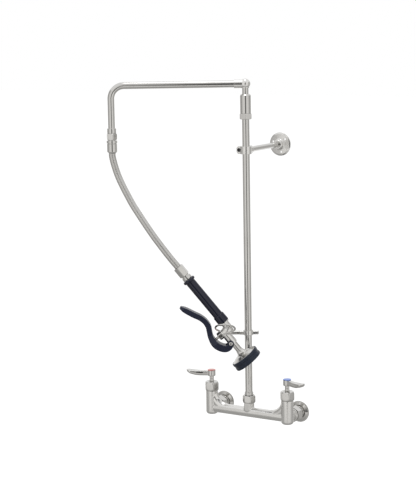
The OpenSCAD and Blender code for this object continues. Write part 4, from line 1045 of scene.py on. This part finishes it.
def board(name, centre, size, facing, material):
    """A flat stage board of size (wide, high), square to the way that it faces."""
    z = np.array(facing, float) / np.linalg.norm(facing)
    x = np.cross((0, 0, 1), z) if abs(z[2]) < 0.9 else np.array((1.0, 0, 0))
    x /= np.linalg.norm(x)
    y = np.cross(z, x)
    w, h = size[0] / 2, size[1] / 2
    points = [np.array(centre) + sx * w * x + sy * h * y for sx, sy in ((-1, -1), (1, -1), (1, 1), (-1, 1))]
    mesh = bpy.data.meshes.new(name)
    mesh.from_pydata([tuple(p) for p in points], [], [(0, 1, 2, 3)])
    mesh.materials.append(material)
    obj = bpy.data.objects.new(name, mesh)
    scene.collection.objects.link(obj)
    return obj


def card_paint(name, dark, light, centre, half_width, way):
    """A glowing card with a soft dark band: light - (light - dark) exp(-((d - centre) / half width)^2).

    d is the distance from the middle of the room along a level way.
    """
    material, tree, shader, where = new_material(name)
    dot = tree.nodes.new("ShaderNodeVectorMath")
    dot.operation = "DOT_PRODUCT"
    tree.links.new(where, dot.inputs[0])
    dot.inputs[1].default_value = way
    place = calc(tree, "DIVIDE", calc(tree, "SUBTRACT", dot.outputs["Value"], centre), half_width)
    fall = calc(tree, "EXPONENT", calc(tree, "MULTIPLY", calc(tree, "MULTIPLY", place, place), -1.0))
    level = calc(tree, "SUBTRACT", light, calc(tree, "MULTIPLY", fall, light - dark))
    shader.inputs["Base Color"].default_value = (0, 0, 0, 1)
    shader.inputs["Roughness"].default_value = 1.0
    shader.inputs["Specular IOR Level"].default_value = 0.0
    shader.inputs["Emission Color"].default_value = (1.0, 0.99, 0.97, 1)
    tree.links.new(level, shader.inputs["Emission Strength"])
    return material


floor_paint, tree, shader, where = new_material("floor paint")
floor_clouds = noise(tree, where, scale=3, detail=2)
floor_grey = tint(tree, floor_clouds, (0.54, 0.54, 0.54), (0.57, 0.57, 0.57))
tree.links.new(floor_grey, shader.inputs["Base Color"])
shader.inputs["Roughness"].default_value = 0.8
shader.inputs["Specular IOR Level"].default_value = 0.0
shader.inputs["Emission Color"].default_value = (1, 1, 1, 1)
tree.links.new(calc(tree, "MULTIPLY", white_seen(tree), FLOOR_GLOW), shader.inputs["Emission Strength"])
board("floor", (0, 0, FLOOR_Z), (60, 60), (0, 0, 1), floor_paint)
turned_to = math.radians(CAMERA_AZIMUTH)
along_room = np.array((math.cos(turned_to), math.sin(turned_to), 0))
to_camera = np.array((math.sin(turned_to), -math.cos(turned_to), 0))
end_card = card_paint(
    "room end card", dark=0.0, light=1.0, centre=0.0, half_width=0.85, way=tuple(along_room))
side_card = card_paint(
    "room side card", dark=0.45, light=0.95, centre=-0.5, half_width=1.7, way=tuple(to_camera))
low_card = card_paint(
    "low card", dark=0.42, light=0.95, centre=0.0, half_width=1.3, way=tuple(to_camera))
end_at = to_camera * END_CARD_AWAY + (0, 0, 0.6)
left_at = along_room * -SIDE_CARD_AWAY + (0, 0, 0.3)
right_at = along_room * SIDE_CARD_AWAY + (0, 0, 0.3)
cards = [board("room_end_card", end_at, (9, 5), -to_camera, end_card),
         board("room_left_card", left_at, (8, 3.4), along_room, side_card),
         board("room_right_card", right_at, (8, 3.4), -along_room, side_card),
         board("room_low_card", (0, 0, LOW_CARD_Z), (3.4, 3.4), (0, 0, 1), low_card)]
for card in cards:
    card.visible_camera = card.visible_diffuse = card.visible_shadow = card.visible_transmission = False


def lamp(name, place, aim, size, watts, mirrored=True):
    """A soft lamp of size (wide, high) at a place, turned towards its aim."""
    data = bpy.data.lights.new(name, "AREA")
    data.shape = "RECTANGLE"
    data.size, data.size_y = size
    data.energy = watts
    obj = bpy.data.objects.new(name, data)
    way = np.array(aim) - np.array(place)
    tip = math.atan2(math.hypot(way[0], way[1]), -way[2])
    obj.rotation_euler = (tip, 0, math.atan2(way[1], way[0]) - math.pi / 2)
    obj.location = place
    obj.visible_glossy = mirrored
    scene.collection.objects.link(obj)


lamp("top_lamp", (0.2, -0.6, 2.8), (0, 0, 0.4), (2.6, 2.6), 28, mirrored=False)
lamp("strip_lamp", (-0.1, -0.1, 2.6), (-0.1, -0.1, 0.4), (0.8, 0.8), 5)
lamp("left_lamp", (-2.6, -1.8, 1.3), (0, 0, 0.4), (2.0, 2.0), 30, mirrored=False)
lamp("right_lamp", (2.7, -0.4, 1.2), (0, 0, 0.4), (1.6, 2.0), 18, mirrored=False)

CAMERA_AT = (1.6847, -2.9916, 0.9312)
CAMERA_PITCH = 9.15
CAMERA_ROLL = -0.95
CAMERA_LENS = 106.8
CAMERA_SENSOR = 36.0
camera_data = bpy.data.cameras.new("camera")
camera_data.sensor_width = CAMERA_SENSOR
camera_data.lens = CAMERA_LENS
camera = bpy.data.objects.new("camera", camera_data)
aimed = turn("z", CAMERA_AZIMUTH) @ turn("x", 90 - CAMERA_PITCH) @ turn("z", CAMERA_ROLL)
aimed[:3, 3] = CAMERA_AT
camera.matrix_world = Matrix(aimed.tolist())
scene.collection.objects.link(camera)
scene.camera = camera
